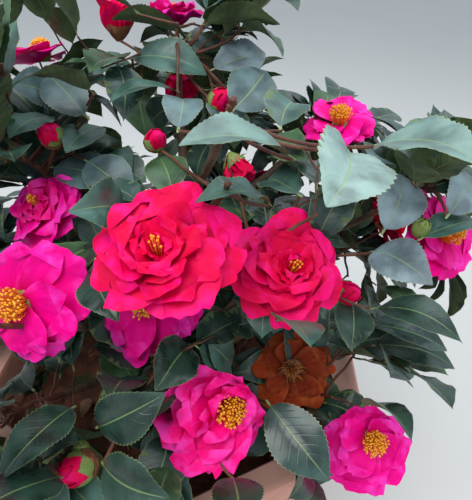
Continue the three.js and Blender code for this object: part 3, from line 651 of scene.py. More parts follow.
@dataclass
class Leaf:
    """A leaf by its base, tip, width, upper face and colour."""

    base: Array
    tip: Array
    width: float
    face: Array
    tint: Tint = Tint.DEEP
    leading: bool = False
    lobes: float = 0.0
    along: Array = field(init=False)
    normal: Array = field(init=False)
    across: Array = field(init=False)
    length: float = field(init=False)
    samples: Array = field(init=False)
    halves: Array = field(init=False)
    edges: Array = field(init=False)

    def __post_init__(self) -> None:
        """Works out the leaf's own axes, the points that it is tested at and its outline."""
        self.along = unit(self.tip - self.base)
        self.normal = unit(self.face - self.along * (self.face @ self.along))
        self.across = np.cross(self.normal, self.along)
        self.length = float(np.linalg.norm(self.tip - self.base))
        spots = [(0.15, 0), (LEAF_MIDDLE, 0), (0.75, 0), (1, 0)]
        for side in (-1, 1):
            spots += [(LEAF_MIDDLE, LEAF_SIDE * side), (0.22, 0.75 * side), (0.72, 0.75 * side)]
            spots.append((LEAF_MIDDLE, 0.5 * side))
        self.samples = self.places(np.array(spots, float))
        outline = [(LEAF_NECK / self.length, 0), (1, 0), (LEAF_MIDDLE, LEAF_SIDE), (LEAF_MIDDLE, -LEAF_SIDE)]
        neck, tip, left, right = self.places(np.array(outline, float))
        self.halves = np.array([[neck, tip, left], [neck, right, tip]])
        self.edges = np.array([[neck, tip], [neck, left], [left, tip], [neck, right], [right, tip]])

    def places(self, spots: Array) -> Array:
        """Points of the blade.

        Args:
            spots: rows of share of the length and share of the half width.

        Returns:
            Base plus share along, side across, and out of the face an arch and a fold up to the edges.
        """
        share, half = spots[:, :1], 0.5 * self.width * spots[:, 1:]
        lift = LEAF_DROOP * self.length * 4 * share * (1 - share) + np.abs(half) * 2 * LEAF_FOLD
        return self.base + share * self.length * self.along + half * self.across + lift * self.normal

    def spread_points(self) -> Array:
        """Points all over the blade, for telling what it stands before."""
        return self.places(BLADE_SPOTS)


BLADE_SPOTS = np.array(
    [(share, side) for share in np.linspace(0.05, 1, 8) for side in (-0.85, -0.3, 0.3, 0.85)]
)


def any_pierced(segments: Array, faces: Array) -> bool:
    """True where a straight line passes through a triangle.

    Args:
        segments: start and end of each line.
        faces: three corners of each triangle.

    Returns:
        Whether any line meets any triangle, from the products of their edges.
    """
    start, span = segments[:, None, 0], segments[:, None, 1] - segments[:, None, 0]
    a = faces[None, :, 0]
    e1, e2 = faces[None, :, 1] - a, faces[None, :, 2] - a
    normal = np.cross(e1, e2)
    along = (span * normal).sum(axis=2)
    sign = np.sign(along)
    diff = start - a
    first = sign * (span * np.cross(diff, e2)).sum(axis=2)
    second = sign * (span * np.cross(e1, diff)).sum(axis=2)
    ahead = -sign * (diff * normal).sum(axis=2)
    size = np.abs(along)
    inside = (first >= 0) & (second >= 0) & (first + second <= size)
    return bool((inside & (size > 0) & (ahead >= 0) & (ahead < size)).any())


@dataclass
class Spray:
    """What grows in one mass: stem, shoots, leaves, flowers and buds."""

    name: str
    index: int
    stem: Line
    outward: Array
    shoots: list[Line]
    leafy: list[Line] = field(default_factory=list)
    twigs: list[Line] = field(default_factory=list)
    leaves: list[Leaf] = field(default_factory=list)
    blooms: list[Bloom] = field(default_factory=list)
    buds: list[Bud] = field(default_factory=list)

    def crosses(self, leaf: Leaf) -> bool:
        """True where a leaf would cut through another leaf or a shoot of the spray."""
        if self.leaves:
            halves = np.concatenate([other.halves for other in self.leaves])
            edges = np.concatenate([other.edges for other in self.leaves])
            if any_pierced(leaf.edges, halves) or any_pierced(edges, leaf.halves):
                return True
        lines = np.array([[line.start, line.end] for line in [*self.shoots, *self.twigs]])
        return any_pierced(lines, leaf.halves)


@dataclass(frozen=True)
class TwigRule:
    """How twigs stand on a shoot, and how a twig bears leaves.

    The first four are the leaves' length, its spread, how far they reach and how close they stand. The others
    are how far apart the twigs are, their length, its spread, and how many ways round each one is tried.
    """

    length: float = LEAF_LENGTH
    spread: float = LEAF_LENGTH_SPREAD
    limit: float = LEAF_LIMIT
    spacing: float = LEAF_SPACING
    every: float = 12.0
    reach: float = 34.0
    reach_spread: float = 24.0
    tries: int = 3


FIRST_TWIGS = TwigRule(64, 18, FINE_LIMIT, 11.0, 11.0, 34.0, 24.0)
SECOND_TWIGS = TwigRule(58, 16, FINE_LIMIT, 11.0, 15.0, 26.0, 16.0)

# What stays open in the crown from the viewpoint, as discs of column, row and radius: beside the crest, on
# the right, and over the rim and the earth between the low leaves
OPENINGS = [
    (316, 40, 34), (372, 36, 52), (440, 44, 58), (400, 92, 16), (300, 78, 12), (352, 268, 12),
    (446, 462, 34), (418, 398, 10), (350, 372, 15), (380, 388, 14), (6, 362, 14), (10, 424, 17),
    (62, 392, 17), (122, 462, 15), (272, 478, 20), (210, 492, 14),
]


class Sights:
    """What has to stay in sight from the viewpoint: discs by column, row, depth and radius."""

    def __init__(self, sprays: list[Spray]) -> None:
        """Gathers the discs on flowers, buds and leading leaves, and the openings behind everything."""
        rows = [[column, row, 1e6, radius] for column, row, radius in OPENINGS]
        for bloom in BLOOM_PLACES:
            if bloom.centre[1] < BLOOMS_IN_SIGHT:
                rows.append(self.disc(bloom.centre, 0.84 * bloom.radius))
        for spray in sprays:
            rows += [self.disc(bud.centre, 1.1 * bud.radius) for bud in spray.buds]
            for leaf in [leaf for leaf in spray.leaves if leaf.leading]:
                for share, wide in LEAF_DISCS:
                    middle = leaf.base + share * leaf.length * leaf.along
                    rows.append(self.disc(middle, wide * leaf.width))
        self.discs = np.array(rows)

    @staticmethod
    def disc(place: Array, radius: float) -> list[float]:
        """Column, row, depth and radius in pixels of a disc that faces the viewpoint."""
        seen = VIEW.project(place)
        return [*seen, radius * VIEW.focal / seen[2]]

    def before(self, points: Array) -> int:
        """How many points stand before a disc.

        Args:
            points: places as rows.

        Returns:
            How many are nearer than some disc and within its radius.
        """
        seen = VIEW.project(points)
        aside = np.hypot(seen[:, None, 0] - self.discs[:, 0], seen[:, None, 1] - self.discs[:, 1])
        return int(((seen[:, None, 2] < self.discs[:, 2] - 2) & (aside < self.discs[:, 3])).any(axis=1).sum())

    def spoiled_by(self, points: Array) -> bool:
        """True where one of the points stands before a disc."""
        return self.before(points) > 0


class Cover:
    """What the plant covers of the view, in squares of a few pixels."""

    size = 8

    def __init__(self, sights: Sights, sprays: list[Spray]) -> None:
        """Marks the openings, the flowers and the leaves that have grown."""
        rows, columns = VIEW.height // self.size + 1, VIEW.width // self.size + 1
        self.full = np.zeros((rows, columns), bool)
        down, right = np.meshgrid(np.arange(rows), np.arange(columns), indexing="ij")
        self.middles = (np.stack([right, down], axis=-1) + 0.5) * self.size
        for column, row, _, radius in sights.discs:
            away = np.hypot(self.middles[..., 0] - column, self.middles[..., 1] - row)
            self.full |= away < radius
        for spray in sprays:
            for leaf in spray.leaves:
                self.mark(leaf)

    def mark(self, leaf: Leaf) -> None:
        """Marks the squares that a leaf covers."""
        seen = (VIEW.project(leaf.spread_points())[:, :2] // self.size).astype(int)
        rows, columns = self.full.shape
        kept = seen[(seen[:, 0] >= 0) & (seen[:, 0] < columns) & (seen[:, 1] >= 0) & (seen[:, 1] < rows)]
        self.full[kept[:, 1], kept[:, 0]] = True


@dataclass
class Grower:
    """Grows the sprays by the seeded rule of the solids, and then carries them on to finer twigs."""

    frame: WoodyFrame
    sights: Sights | None = None
    bows: tuple[Triple, ...] = (
        (0, 0.5, -0.8), (0, 1, 0), (0, 0, -1), (0.7, 0.4, -0.5), (-0.7, 0.4, -0.5), (0, 0, 1)
    )
    hidden_points: int = 8
    gap_depths: tuple[float, float] = (330.0, 690.0)
    gap_step: float = 24.0
    gap_room: float = 6.0
    gap_lowest: float = 20.0
    nearest: float = 20.0
    near_leaf: float = 36.0
    furthest: float = 95.0
    leaf_middle: float = 28.0
    shortest: float = 46.0
    longest: float = 70.0
    leans: Triple = (0.55, 0.15, 1.1)

    def grow(self, name: str) -> Spray:
        """The spray of one mass.

        Args:
            name: the mass.

        Returns:
            The spray: what the solids have, in the same order of random draws.
        """
        index = self.frame.names.index(name)
        numbers = Numbers(index + GROWTH_SEED)
        limb = self.frame.boughs.get(name, self.frame.trunk)
        heading = limb.curve.heading(1.0)
        foot = limb.curve.at(1.0) + heading * GAP
        site = self.frame.sites[index]
        outward = unit(site - point((0, 0, 60)))
        stem = Line(foot, foot + heading * (np.linalg.norm(foot - site) + STEM_OUTER))
        spray = Spray(name, index, stem, outward, [stem])
        blooms = [bloom for bloom in BLOOM_PLACES if bloom.mass == name]
        buds = [(k, row) for k, row in enumerate(BUDS) if row[0] == name]
        leaves = [row for row in LEADING_LEAVES if row[0] == name]
        step = SHOOTS_SPAN / (len(blooms) + len(buds) + len(leaves) + MASSES[name][1])

        def carry(target: Array, bears: bool) -> None:
            """Adds a shoot from the stem to a target."""
            line = Line(stem.at(SHOOTS_FROM + step * (len(spray.shoots) - 0.5)), target)
            spray.shoots.append(line)
            if bears:
                spray.leafy.append(line)

        for bloom in blooms:
            carry(bloom.foot(), True)
            spray.blooms.append(bloom)
        for k, (_, at, radius, faces, form) in buds:
            bud = Bud(point(at), radius, unit(point(faces)), form, BUD_SEED + k)
            carry(bud.foot(), True)
            spray.buds.append(bud)
        for _, base, tip, width, face, tint in leaves:
            leaf = Leaf(point(base), point(tip), width, point(face), tint, True, LOBES.get(base, 0.0))
            carry(leaf.base, False)
            leaf.base = leaf.base - 2 * leaf.along
            spray.leaves.append(leaf)
        side = unit(np.cross(outward, UP))
        over = np.cross(side, outward)
        count = MASSES[name][1]
        for k in range(count):
            angle = DIVERGENCE * k + 6 * numbers.draw()
            tilt = TILT_FROM + TILT_SPAN * (k + 0.5) / count
            round_stem = side * math.cos(angle) + over * math.sin(angle)
            aim = outward * math.cos(tilt) + math.sin(tilt) * round_stem
            reach = SHOOT_REACH * (REACH_FROM + REACH_SPAN * numbers.draw())
            while reach > SHORTEST_REACH and not self.has_space(index, site + aim * reach):
                reach *= REACH_STEP
            line = Line(stem.at(SHOOTS_FROM + step * (len(spray.shoots) - 0.5)), site + aim * reach)
            if self.shoot_is_clear(line, index):
                spray.shoots.append(line)
                spray.leafy.append(line)
        for line in spray.leafy:
            self.bear(line, spray, numbers, TwigRule())
        return spray

    def has_space(self, index: int, target: Array) -> bool:
        """True where a shoot may end: well inside the mass's own space and the crown."""
        return self.frame.room(index, target) >= SHOOT_ROOM and bool(inside_crown(target, SHOOT_LIMIT))

    def shoot_is_clear(self, line: Line, index: int, room: float = 2.2, clearance: float = 2.5) -> bool:
        """True where a shoot keeps to its space, clear of the limbs and above the rim."""
        points = line.at(np.linspace(0, 1, 9))
        return (
            bool((self.frame.room(index, points) >= room).all())
            and self.frame.clear_of_limbs(points, clearance)
            and bool((points[:, 2] >= LOWEST_LEAF).all())
        )

    def fits(self, leaf: Leaf, spray: Spray, limit: float) -> bool:
        """True where a leaf keeps to its space, hides no flower and cuts through nothing.

        Args:
            leaf: the leaf.
            spray: the spray that it would join.
            limit: share of the crown's radii that it may reach.

        Returns:
            Whether it may grow there.
        """
        points = leaf.samples
        return (
            bool((points[:, 2] > LOWEST_LEAF).all())
            and bool((self.frame.room(spray.index, points) > CELL_MARGIN).all())
            and bool(inside_crown(points, limit).all())
            and not hides_bloom(points)
            and self.frame.clear_of_limbs(points, LIMB_CLEARANCE)
            and not (self.sights and (in_bloom(points[1:]) or self.sights.spoiled_by(leaf.spread_points())))
            and not spray.crosses(leaf)
        )

    def bear(self, line: Line, spray: Spray, numbers: Numbers, rule: TwigRule) -> int:
        """Leaves along a shoot: each turned on from the last, tried a few ways round until one fits.

        Args:
            line: the shoot.
            spray: the spray that the leaves join.
            numbers: the seeded numbers.
            rule: size and spacing of the leaves.

        Returns:
            How many leaves grew.
        """
        grown = 0
        count = max(2, math.floor(0.75 * line.length() / rule.spacing) + 2)
        side = 2 * math.pi / TWIG_SIDES
        start = math.floor(TWIG_SIDES * numbers.draw())
        along = line.heading()
        sideways = np.cross(along, UP)
        if np.linalg.norm(sideways) < 0.1:
            sideways = point((1, 0, 0))
        sideways = unit(sideways)
        over = np.cross(sideways, along)
        for k in range(count):
            base = line.at(LEAVES_FROM + LEAVES_SPAN * k / (count - 1))
            spread = LEAF_OPENS - LEAF_CLOSES * (k / (count - 1)) + LEAF_VARIES * (numbers.draw() - 0.5)
            size = rule.length + rule.spread * (numbers.draw() - 0.5)
            tilt = numbers.draw() - 0.5
            for attempt in range(LEAF_TRIES):
                angle = side * (start + k + attempt) - math.pi / 2
                closed = attempt // TWIG_SIDES
                opened = spread - TRY_CLOSES * closed
                round_twig = sideways * math.cos(angle) + over * math.sin(angle)
                heading = along * math.cos(opened) + math.sin(opened) * round_twig
                face = spray.outward * FACE_OUT + UP
                face = face + np.cross(heading, face) * FACE_TILT * tilt
                if abs(heading @ unit(face)) >= FACE_LIMIT:
                    continue
                tip = base + heading * size * (1 - TRY_SHRINKS * closed)
                leaf = Leaf(base, tip, size * LEAF_WIDTH_SHARE, face)
                if self.fits(leaf, spray, rule.limit):
                    spray.leaves.append(leaf)
                    grown += 1
                    break
        return grown

    def refine(self, spray: Spray) -> None:
        """Carries a spray on to finer twigs: first on the stem and shoots, then on those twigs.

        Leaves of the rule that stand before what has to stay in sight come off first.

        Args:
            spray: the spray.
        """
        numbers = Numbers(spray.index + TWIG_SEED)
        self.clear_flowers(spray)
        spray.leaves = [
            leaf for leaf in spray.leaves
            if leaf.leading or not self.sights.spoiled_by(leaf.spread_points())
        ]
        straight = [id(line) for line in (spray.stem, *spray.leafy)]
        spray.shoots = [line if id(line) in straight else self.arched(line, spray) for line in spray.shoots]
        first = self.sprout(spray, spray.shoots, numbers, FIRST_TWIGS)
        self.sprout(spray, first, numbers, SECOND_TWIGS)

    def clear_flowers(self, spray: Spray) -> None:
        """Takes off the seeded shoots that run through a flower in full view, with their leaves.

        Args:
            spray: the spray.
        """
        spans = np.linspace(0, 1, 40)
        held = [borne.foot() for borne in (*spray.blooms, *spray.buds)]
        for shoot in list(spray.leafy):
            points = shoot.at(spans)
            bearing = any(np.linalg.norm(foot - shoot.end) < 1 for foot in held)
            if not bearing and self.sights.before(points) > self.hidden_points and in_bloom(points):
                spray.shoots.remove(shoot)
                spray.leafy.remove(shoot)
                spray.leaves = [
                    leaf for leaf in spray.leaves
                    if leaf.leading or np.linalg.norm(points - leaf.base, axis=1).min() > 3
                ]

    def arched(self, line: Line, spray: Spray) -> Line:
        """A shoot to a leading leaf, arched so that it hides as little as it can.

        Where every arch would cross a flower, the shoot leaves the stem further down.

        Args:
            line: the straight shoot.
            spray: the spray that it stands in.

        Returns:
            The best of several arches: the one with the fewest points before something that stays in sight.
        """
        best, least = line, math.inf
        spans = np.linspace(0.04, 0.96, 16)
        for start in (line.start, *spray.stem.at(np.array([0.7, 0.5, 0.3, 0.15]))):
            if least < 5:
                break
            for share in (0.12, 0.2, 0.06, 0.28, 0.0):
                for way in self.bows:
                    made = Line(start, line.end, unit(point(way)) * share * line.length())
                    points = made.at(spans)
                    blocked = not self.shoot_is_clear(made, spray.index, 1.0, 1.5)
                    score = self.sights.before(points) + 8 * in_bloom(points) + 40 * blocked
                    if score < least:
                        best, least = made, score
        return best

    def sprout(self, spray: Spray, lines: list[Line], numbers: Numbers, rule: TwigRule) -> list[Line]:
        """Short twigs set round shoots at the golden angle, each with its own leaves.

        Args:
            spray: the spray to carry on.
            lines: the shoots that they stand on.
            numbers: the seeded numbers.
            rule: how the twigs stand and bear.

        Returns:
            The twigs that grew.
        """
        grown = []
        for line in lines:
            count = max(1, int(line.length() / rule.every))
            for k in range(count):
                share = 0.12 + 0.86 * (k + numbers.draw()) / count
                heading = line.heading(share)
                sideways = unit(np.cross(heading, UP) + 1e-6)
                over = np.cross(sideways, heading)
                angle = GOLDEN_ANGLE * k + 6 * numbers.draw()
                lean = 0.5 + 0.7 * numbers.draw()
                reach = rule.reach + rule.reach_spread * (numbers.draw() - 0.5)
                for attempt in range(rule.tries):
                    turned = angle + attempt * 2 * math.pi / rule.tries
                    round_shoot = sideways * math.cos(turned) + over * math.sin(turned)
                    aim = heading * math.cos(lean) + math.sin(lean) * round_shoot
                    twig = Line(line.at(share), line.at(share) + aim * reach)
                    inside = self.frame.room(spray.index, twig.end) > 5 and bool(inside_crown(twig.end, 0.95))
                    if not inside or not self.shoot_is_clear(twig, spray.index, 1.6):
                        continue
                    points = twig.at(np.linspace(0.3, 1, 5))
                    if in_bloom(points) or self.sights.spoiled_by(points):
                        continue
                    spray.twigs.append(twig)
                    if self.bear(twig, spray, numbers, rule):
                        grown.append(twig)
                        break
                    spray.twigs.pop()
        return grown

    def fill(self, sprays: list[Spray], rounds: int = 2) -> int:
        """Grows leaves towards the light where the view still shows through the crown.

        A gap is followed away from the viewpoint. At each depth the nearest twig of the mass whose space
        it is sends a short side twig towards it, with one leaf whose middle covers the gap.

        Args:
            sprays: all the sprays.
            rounds: how often the gaps are gone over.

        Returns:
            How many leaves grew.
        """
        cover = Cover(self.sights, sprays)
        lines = [self.twig_points(spray) for spray in sprays]
        grown = 0
        for turn in range(rounds):
            for row, column in np.argwhere(~cover.full):
                if cover.full[row, column]:
                    continue
                for depth in np.arange(*self.gap_depths, self.gap_step - 6 * turn):
                    target = VIEW.unproject(*cover.middles[row, column], depth)
                    if target[2] < self.gap_lowest or not inside_crown(target, 0.99):
                        continue
                    index = int(np.argmin(np.linalg.norm(self.frame.sites - target, axis=1)))
                    if self.frame.room(index, target) <= self.gap_room:
                        continue
                    if self.reach_out(sprays[index], lines[index], target, cover):
                        grown += 1
                        break
        return grown

    @staticmethod
    def prune(spray: Spray) -> None:
        """Takes off the shoots and twigs that carry nothing, outermost first.

        Args:
            spray: the spray.
        """
        things = [leaf.base for leaf in spray.leaves]
        things += [borne.foot() for borne in (*spray.buds, *spray.blooms)]
        for _ in range(3):
            borne = np.array(things + [line.start for line in [*spray.twigs, *spray.shoots[1:]]])
            spray.twigs = [kept for twig in spray.twigs if (kept := Grower.shortened(twig, borne))]
            shoots = [Grower.shortened(shoot, borne) for shoot in spray.shoots[1:]]
            spray.shoots[1:] = [shoot for shoot in shoots if shoot]
            spray.stem = Grower.shortened(spray.stem, borne) or spray.stem

    @staticmethod
    def shortened(line: Line, borne: Array) -> Line | None:
        """A line cut off just past the last thing that it bears, or nothing where it bears none.

        Args:
            line: the twig.
            borne: the feet of leaves, flowers, buds and twigs.

        Returns:
            The part that stays.
        """
        spans = np.linspace(0, 1, 60)
        near = np.linalg.norm(borne[:, None] - line.at(spans), axis=-1).min(axis=0) < 2.5
        bearing = np.flatnonzero(near & (spans > 0.1))
        return line.cut(min(1.0, spans[bearing[-1]] + 0.02)) if len(bearing) else None

    @staticmethod
    def twig_points(spray: Spray) -> Array:
        """Points along the shoots and twigs of a spray, as rows."""
        spans = np.linspace(0.25, 1, 6)
        return np.concatenate([line.at(spans) for line in [*spray.shoots, *spray.twigs]])

    def reach_out(self, spray: Spray, points: Array, target: Array, cover: Cover) -> bool:
        """Grows one leaf over a gap from a twig close by.

        Args:
            spray: the spray.
            points: points along its twigs.
            target: where the middle of the leaf should be.
            cover: what is covered so far.

        Returns:
            Whether a leaf grew.
        """
        away = np.linalg.norm(points - target, axis=1)
        for k in np.argsort(away)[:24:4]:
            if not self.nearest < away[k] < self.furthest:
                continue
            heading = unit(target - points[k])
            far = away[k] >= self.near_leaf
            base = target - heading * self.leaf_middle if far else points[k]
            twig = Line(points[k], base + heading * 1e-3)
            if far and not self.shoot_is_clear(twig, spray.index, 1.6):
                continue
            if far and in_bloom(twig.at(np.linspace(0.2, 1, 5))):
                continue
            length = max(self.shortest, min(self.longest, 2.1 * float(np.linalg.norm(target - base))))
            for lean in self.leans:
                face = spray.outward * lean + UP
                if abs(heading @ unit(face)) >= FACE_LIMIT:
                    continue
                leaf = Leaf(base, base + heading * length, length * LEAF_WIDTH_SHARE, face)
                if self.fits(leaf, spray, FINE_LIMIT):
                    if far:
                        spray.twigs.append(twig)
                    spray.leaves.append(leaf)
                    cover.mark(leaf)
                    return True
        return False


@dataclass
class Skins:
    """Closed skins gathered into one mesh, each a stack of rings between two poles."""

    corners: list[Array] = field(default_factory=list)
    maps: list[Array] = field(default_factory=list)
    quads: list[Array] = field(default_factory=list)
    fans: list[Array] = field(default_factory=list)
    quad_finish: list[Array] = field(default_factory=list)
    fan_finish: list[Array] = field(default_factory=list)
    count: int = 0

    def add(self, rings: Array, first: Array, last: Array, maps: Array, finish: Array) -> None:
        """Adds skins of one make.

        The rings run counter-clockwise seen from the last pole. Each face joins neighbours of two rings, and
        a fan of triangles closes each end.

        Args:
            rings: places, as copies by rings by points by three.
            first: the pole before the first ring of each copy.
            last: the pole after the last ring.
            maps: share along and share across of each ring point, as rings by points by two.
            finish: finish number of each strip between ring points, as copies by points.
        """
        copies, rows, around = rings.shape[:3]
        each = rows * around + 2
        corners = [rings.reshape(copies, -1, 3), first[:, None], last[:, None]]
        self.corners.append(np.concatenate(corners, axis=1).reshape(-1, 3))
        flat = np.concatenate([maps.reshape(-1, 2), [[0.0, 0.5], [1.0, 0.5]]])
        self.maps.append(np.tile(flat, (copies, 1)))
        k = np.arange(around)
        following = (k + 1) % around
        row = np.arange(rows - 1)[:, None] * around
        above = row + around
        quads = np.stack([row + k, row + following, above + following, above + k], axis=-1).reshape(-1, 4)
        top = (rows - 1) * around
        start = np.stack([np.full(around, each - 2), following, k], axis=-1)
        end = np.stack([top + k, top + following, np.full(around, each - 1)], axis=-1)
        offsets = self.count + each * np.arange(copies)[:, None, None]
        self.quads.append((quads[None] + offsets).reshape(-1, 4))
        self.fans.append((np.concatenate([start, end])[None] + offsets).reshape(-1, 3))
        strips = np.broadcast_to(finish, (copies, around))
        self.quad_finish.append(np.tile(strips[:, None], (1, rows - 1, 1)).reshape(-1))
        self.fan_finish.append(np.concatenate([strips, strips], axis=1).reshape(-1))
        self.count += copies * each

    def add_one(self, rings: Array, first: Array, last: Array) -> None:
        """Adds a single skin in the first finish, from rings by points by three and its two poles."""
        rows, around = rings.shape[:2]
        self.add(rings[None], first[None], last[None], ring_map(rows, around), np.zeros((1, around), int))

    def make(self, name: str, finishes: list[Material], crease: float = 50.0) -> Piece:
        """Writes the mesh, in metres, with the pot's underside at the origin.

        Args:
            name: the piece's name.
            finishes: materials by finish number.
            crease: angle in degrees past which an edge stays sharp.

        Returns:
            The piece.
        """
        data = bpy.data.meshes.new(name)
        places = (np.concatenate(self.corners) + [0, 0, POT_HEIGHT]) * MILLIMETRE
        faces = np.concatenate(self.quads).tolist() + np.concatenate(self.fans).tolist()
        data.from_pydata(places.tolist(), [], faces)
        numbers = np.concatenate([*self.quad_finish, *self.fan_finish]).astype(np.int32)
        data.polygons.foreach_set("material_index", numbers)
        loops = np.empty(len(data.loops), np.int32)
        data.loops.foreach_get("vertex_index", loops)
        layer = data.uv_layers.new(name="blade")
        layer.data.foreach_set("uv", np.concatenate(self.maps)[loops].astype(np.float32).ravel())
        for finish in finishes:
            data.materials.append(finish)
        data.shade_smooth()
        data.set_sharp_from_angle(angle=math.radians(crease))
        data.validate()
        piece = bpy.data.objects.new(name, data)
        bpy.context.scene.collection.objects.link(piece)
        return piece


def around_blade(columns: int) -> tuple[Array, Array, Array]:
    """The way round a thin blade: over its upper face, then back under it.

    Args:
        columns: points across the upper face.

    Returns:
        Share across from 1 to -1 of each point, its side of the blade, and which strips are underneath.
    """
    upper = np.linspace(1, -1, columns)
    across = np.concatenate([upper, upper[::-1][1:-1]])
    side = np.concatenate([[0], np.ones(columns - 2), [0], -np.ones(columns - 2)])
    under = (np.arange(len(across)) >= columns - 1).astype(int)
    return across, side, under


def bar(line: Array, radii: Array, sides: int, wobble: Array | float = 0.0) -> Array:
    """Rings round a line of points.

    Args:
        line: points along the bar.
        radii: radius at each point.
        sides: points of each ring.
        wobble: share by which each ring point stands out, as points by sides.

    Returns:
        Rings square to the line, each point at the radius from it, turned evenly round.
    """
    heading = unit(np.gradient(line, axis=0))
    chord = line[-1] - line[0]
    across = np.cross(chord, UP)
    if np.linalg.norm(across) < 0.05 * np.linalg.norm(chord):
        across = point((1, 0, 0))
    right = unit(across - heading * (heading @ across)[:, None])
    back = np.cross(heading, right)
    turn = np.linspace(0, 2 * np.pi, sides, endpoint=False)
    reach = radii[:, None] * (1 + wobble)
    ring = right[:, None] * np.cos(turn)[None, :, None] + back[:, None] * np.sin(turn)[None, :, None]
    return line[:, None] + ring * reach[..., None]


def blade_map(along: Array, across: Array) -> Array:
    """Share along and share across of each ring point of a blade, from 0 to 1."""
    return np.stack(np.broadcast_arrays(along[0], (across[0] + 1) / 2), axis=-1)


def ring_map(rows: int, around: int) -> Array:
    """Share along and share round of each ring point."""
    along, turned = np.meshgrid(np.linspace(0, 1, rows), np.arange(around) / around, indexing="ij")
    return np.stack([along, turned], axis=-1)


class Paint:
    """A material's nodes, added one by one."""

    def __init__(self, name: str, roughness: float, specular: float = 0.5) -> None:
        """Starts a material with its main shader."""
        self.material = bpy.data.materials.new(name)
        self.material.use_nodes = True
        self.tree = self.material.node_tree
        self.shader = self.tree.nodes["Principled BSDF"]
        self.shader.inputs["Roughness"].default_value = roughness
        self.shader.inputs["Specular IOR Level"].default_value = specular

    def node(self, kind: str, **settings: object) -> bpy.types.Node:
        """Adds a node and gives it its settings."""
        made = self.tree.nodes.new(kind)
        for key, value in settings.items():
            setattr(made, key, value)
        return made

    def join(self, source: Socket, target: Socket) -> None:
        """Joins an output to an input."""
        self.tree.links.new(source, target)

    def maths(self, operation: str, first: object, second: object = None) -> Socket:
        """A sum of two values, each a number or an output.

        Args:
            operation: the kind of sum.
            first: the first value.
            second: the second value, where the sum has two.

        Returns:
            The result.
        """
        made = self.node("ShaderNodeMath", operation=operation)
        for socket, value in zip(made.inputs, (first, second)):
            if isinstance(value, Socket):
                self.join(value, socket)
            elif value is not None:
                socket.default_value = value
        return made.outputs[0]

    def place(self) -> Socket:
        """Where a point of the object is."""
        return self.node("ShaderNodeTexCoord").outputs["Object"]

    def blade(self) -> tuple[Socket, Socket, Socket]:
        """Share along a blade, distance from its midrib from 0 to 1, and both as one place."""
        source = self.node("ShaderNodeUVMap", uv_map="blade").outputs["UV"]
        parts = self.node("ShaderNodeSeparateXYZ")
        self.join(source, parts.inputs[0])
        centred = self.maths("SUBTRACT", parts.outputs[1], 0.5)
        aside = self.times(self.maths("ABSOLUTE", centred), 2.0)
        return parts.outputs[0], aside, source

    def times(self, first: object, second: object) -> Socket:
        """The product of two values."""
        return self.maths("MULTIPLY", first, second)

    def noise(
        self, source: Socket, scale: float, detail: float = 3.0, stretch: Triple = (1, 1, 1)
    ) -> Socket:
        """Cloudy variation.

        Args:
            source: the place that it follows.
            scale: how fine it is.
            detail: how many finer layers it has.
            stretch: how much finer it is along each axis.

        Returns:
            A value from 0 to 1.
        """
        turned = self.node("ShaderNodeMapping")
        turned.inputs["Scale"].default_value = stretch
        self.join(source, turned.inputs["Vector"])
        made = self.node("ShaderNodeTexNoise")
        made.inputs["Scale"].default_value = scale
        made.inputs["Detail"].default_value = detail
        self.join(turned.outputs[0], made.inputs["Vector"])
        return made.outputs["Fac"]

    def ramp(
        self, value: Socket, low: float, high: float, start: float = 0.0, end: float = 1.0
    ) -> Socket:
        """A value taken smoothly from one range to another.

        Args:
            value: the value.
            low: where the change starts.
            high: where it ends.
            start: the result at the start.
            end: the result at the end.

        Returns:
            The result.
        """
        made = self.node("ShaderNodeMapRange", interpolation_type="SMOOTHSTEP")
        self.join(value, made.inputs["Value"])
        for name, number in (("From Min", low), ("From Max", high), ("To Min", start), ("To Max", end)):
            made.inputs[name].default_value = number
        return made.outputs["Result"]

    def mix(self, share: Socket, first: object, second: object) -> Socket:
        """Two colours mixed by a share.

        Args:
            share: how much of the second.
            first: a colour or an output.
            second: a colour or an output.

        Returns:
            The colour.
        """
        made = self.node("ShaderNodeMix", data_type="RGBA")
        self.join(share, made.inputs["Factor"])
        for socket, value in ((made.inputs[6], first), (made.inputs[7], second)):
            if isinstance(value, Socket):
                self.join(value, socket)
            else:
                socket.default_value = (*value, 1.0)
        return made.outputs[2]

    def finish(self, colour: Socket, rough: Socket, height: Socket, depth: float) -> Material:
        """Joins colour, roughness and relief to the shader.

        Args:
            colour: the colour.
            rough: the roughness.
            height: the relief.
            depth: how deep the relief is, in metres.

        Returns:
            The material.
        """
        bump = self.node("ShaderNodeBump")
        bump.inputs["Distance"].default_value = depth
        self.join(colour, self.shader.inputs["Base Color"])
        self.join(rough, self.shader.inputs["Roughness"])
        self.join(height, bump.inputs["Height"])
        self.join(bump.outputs[0], self.shader.inputs["Normal"])
        return self.material


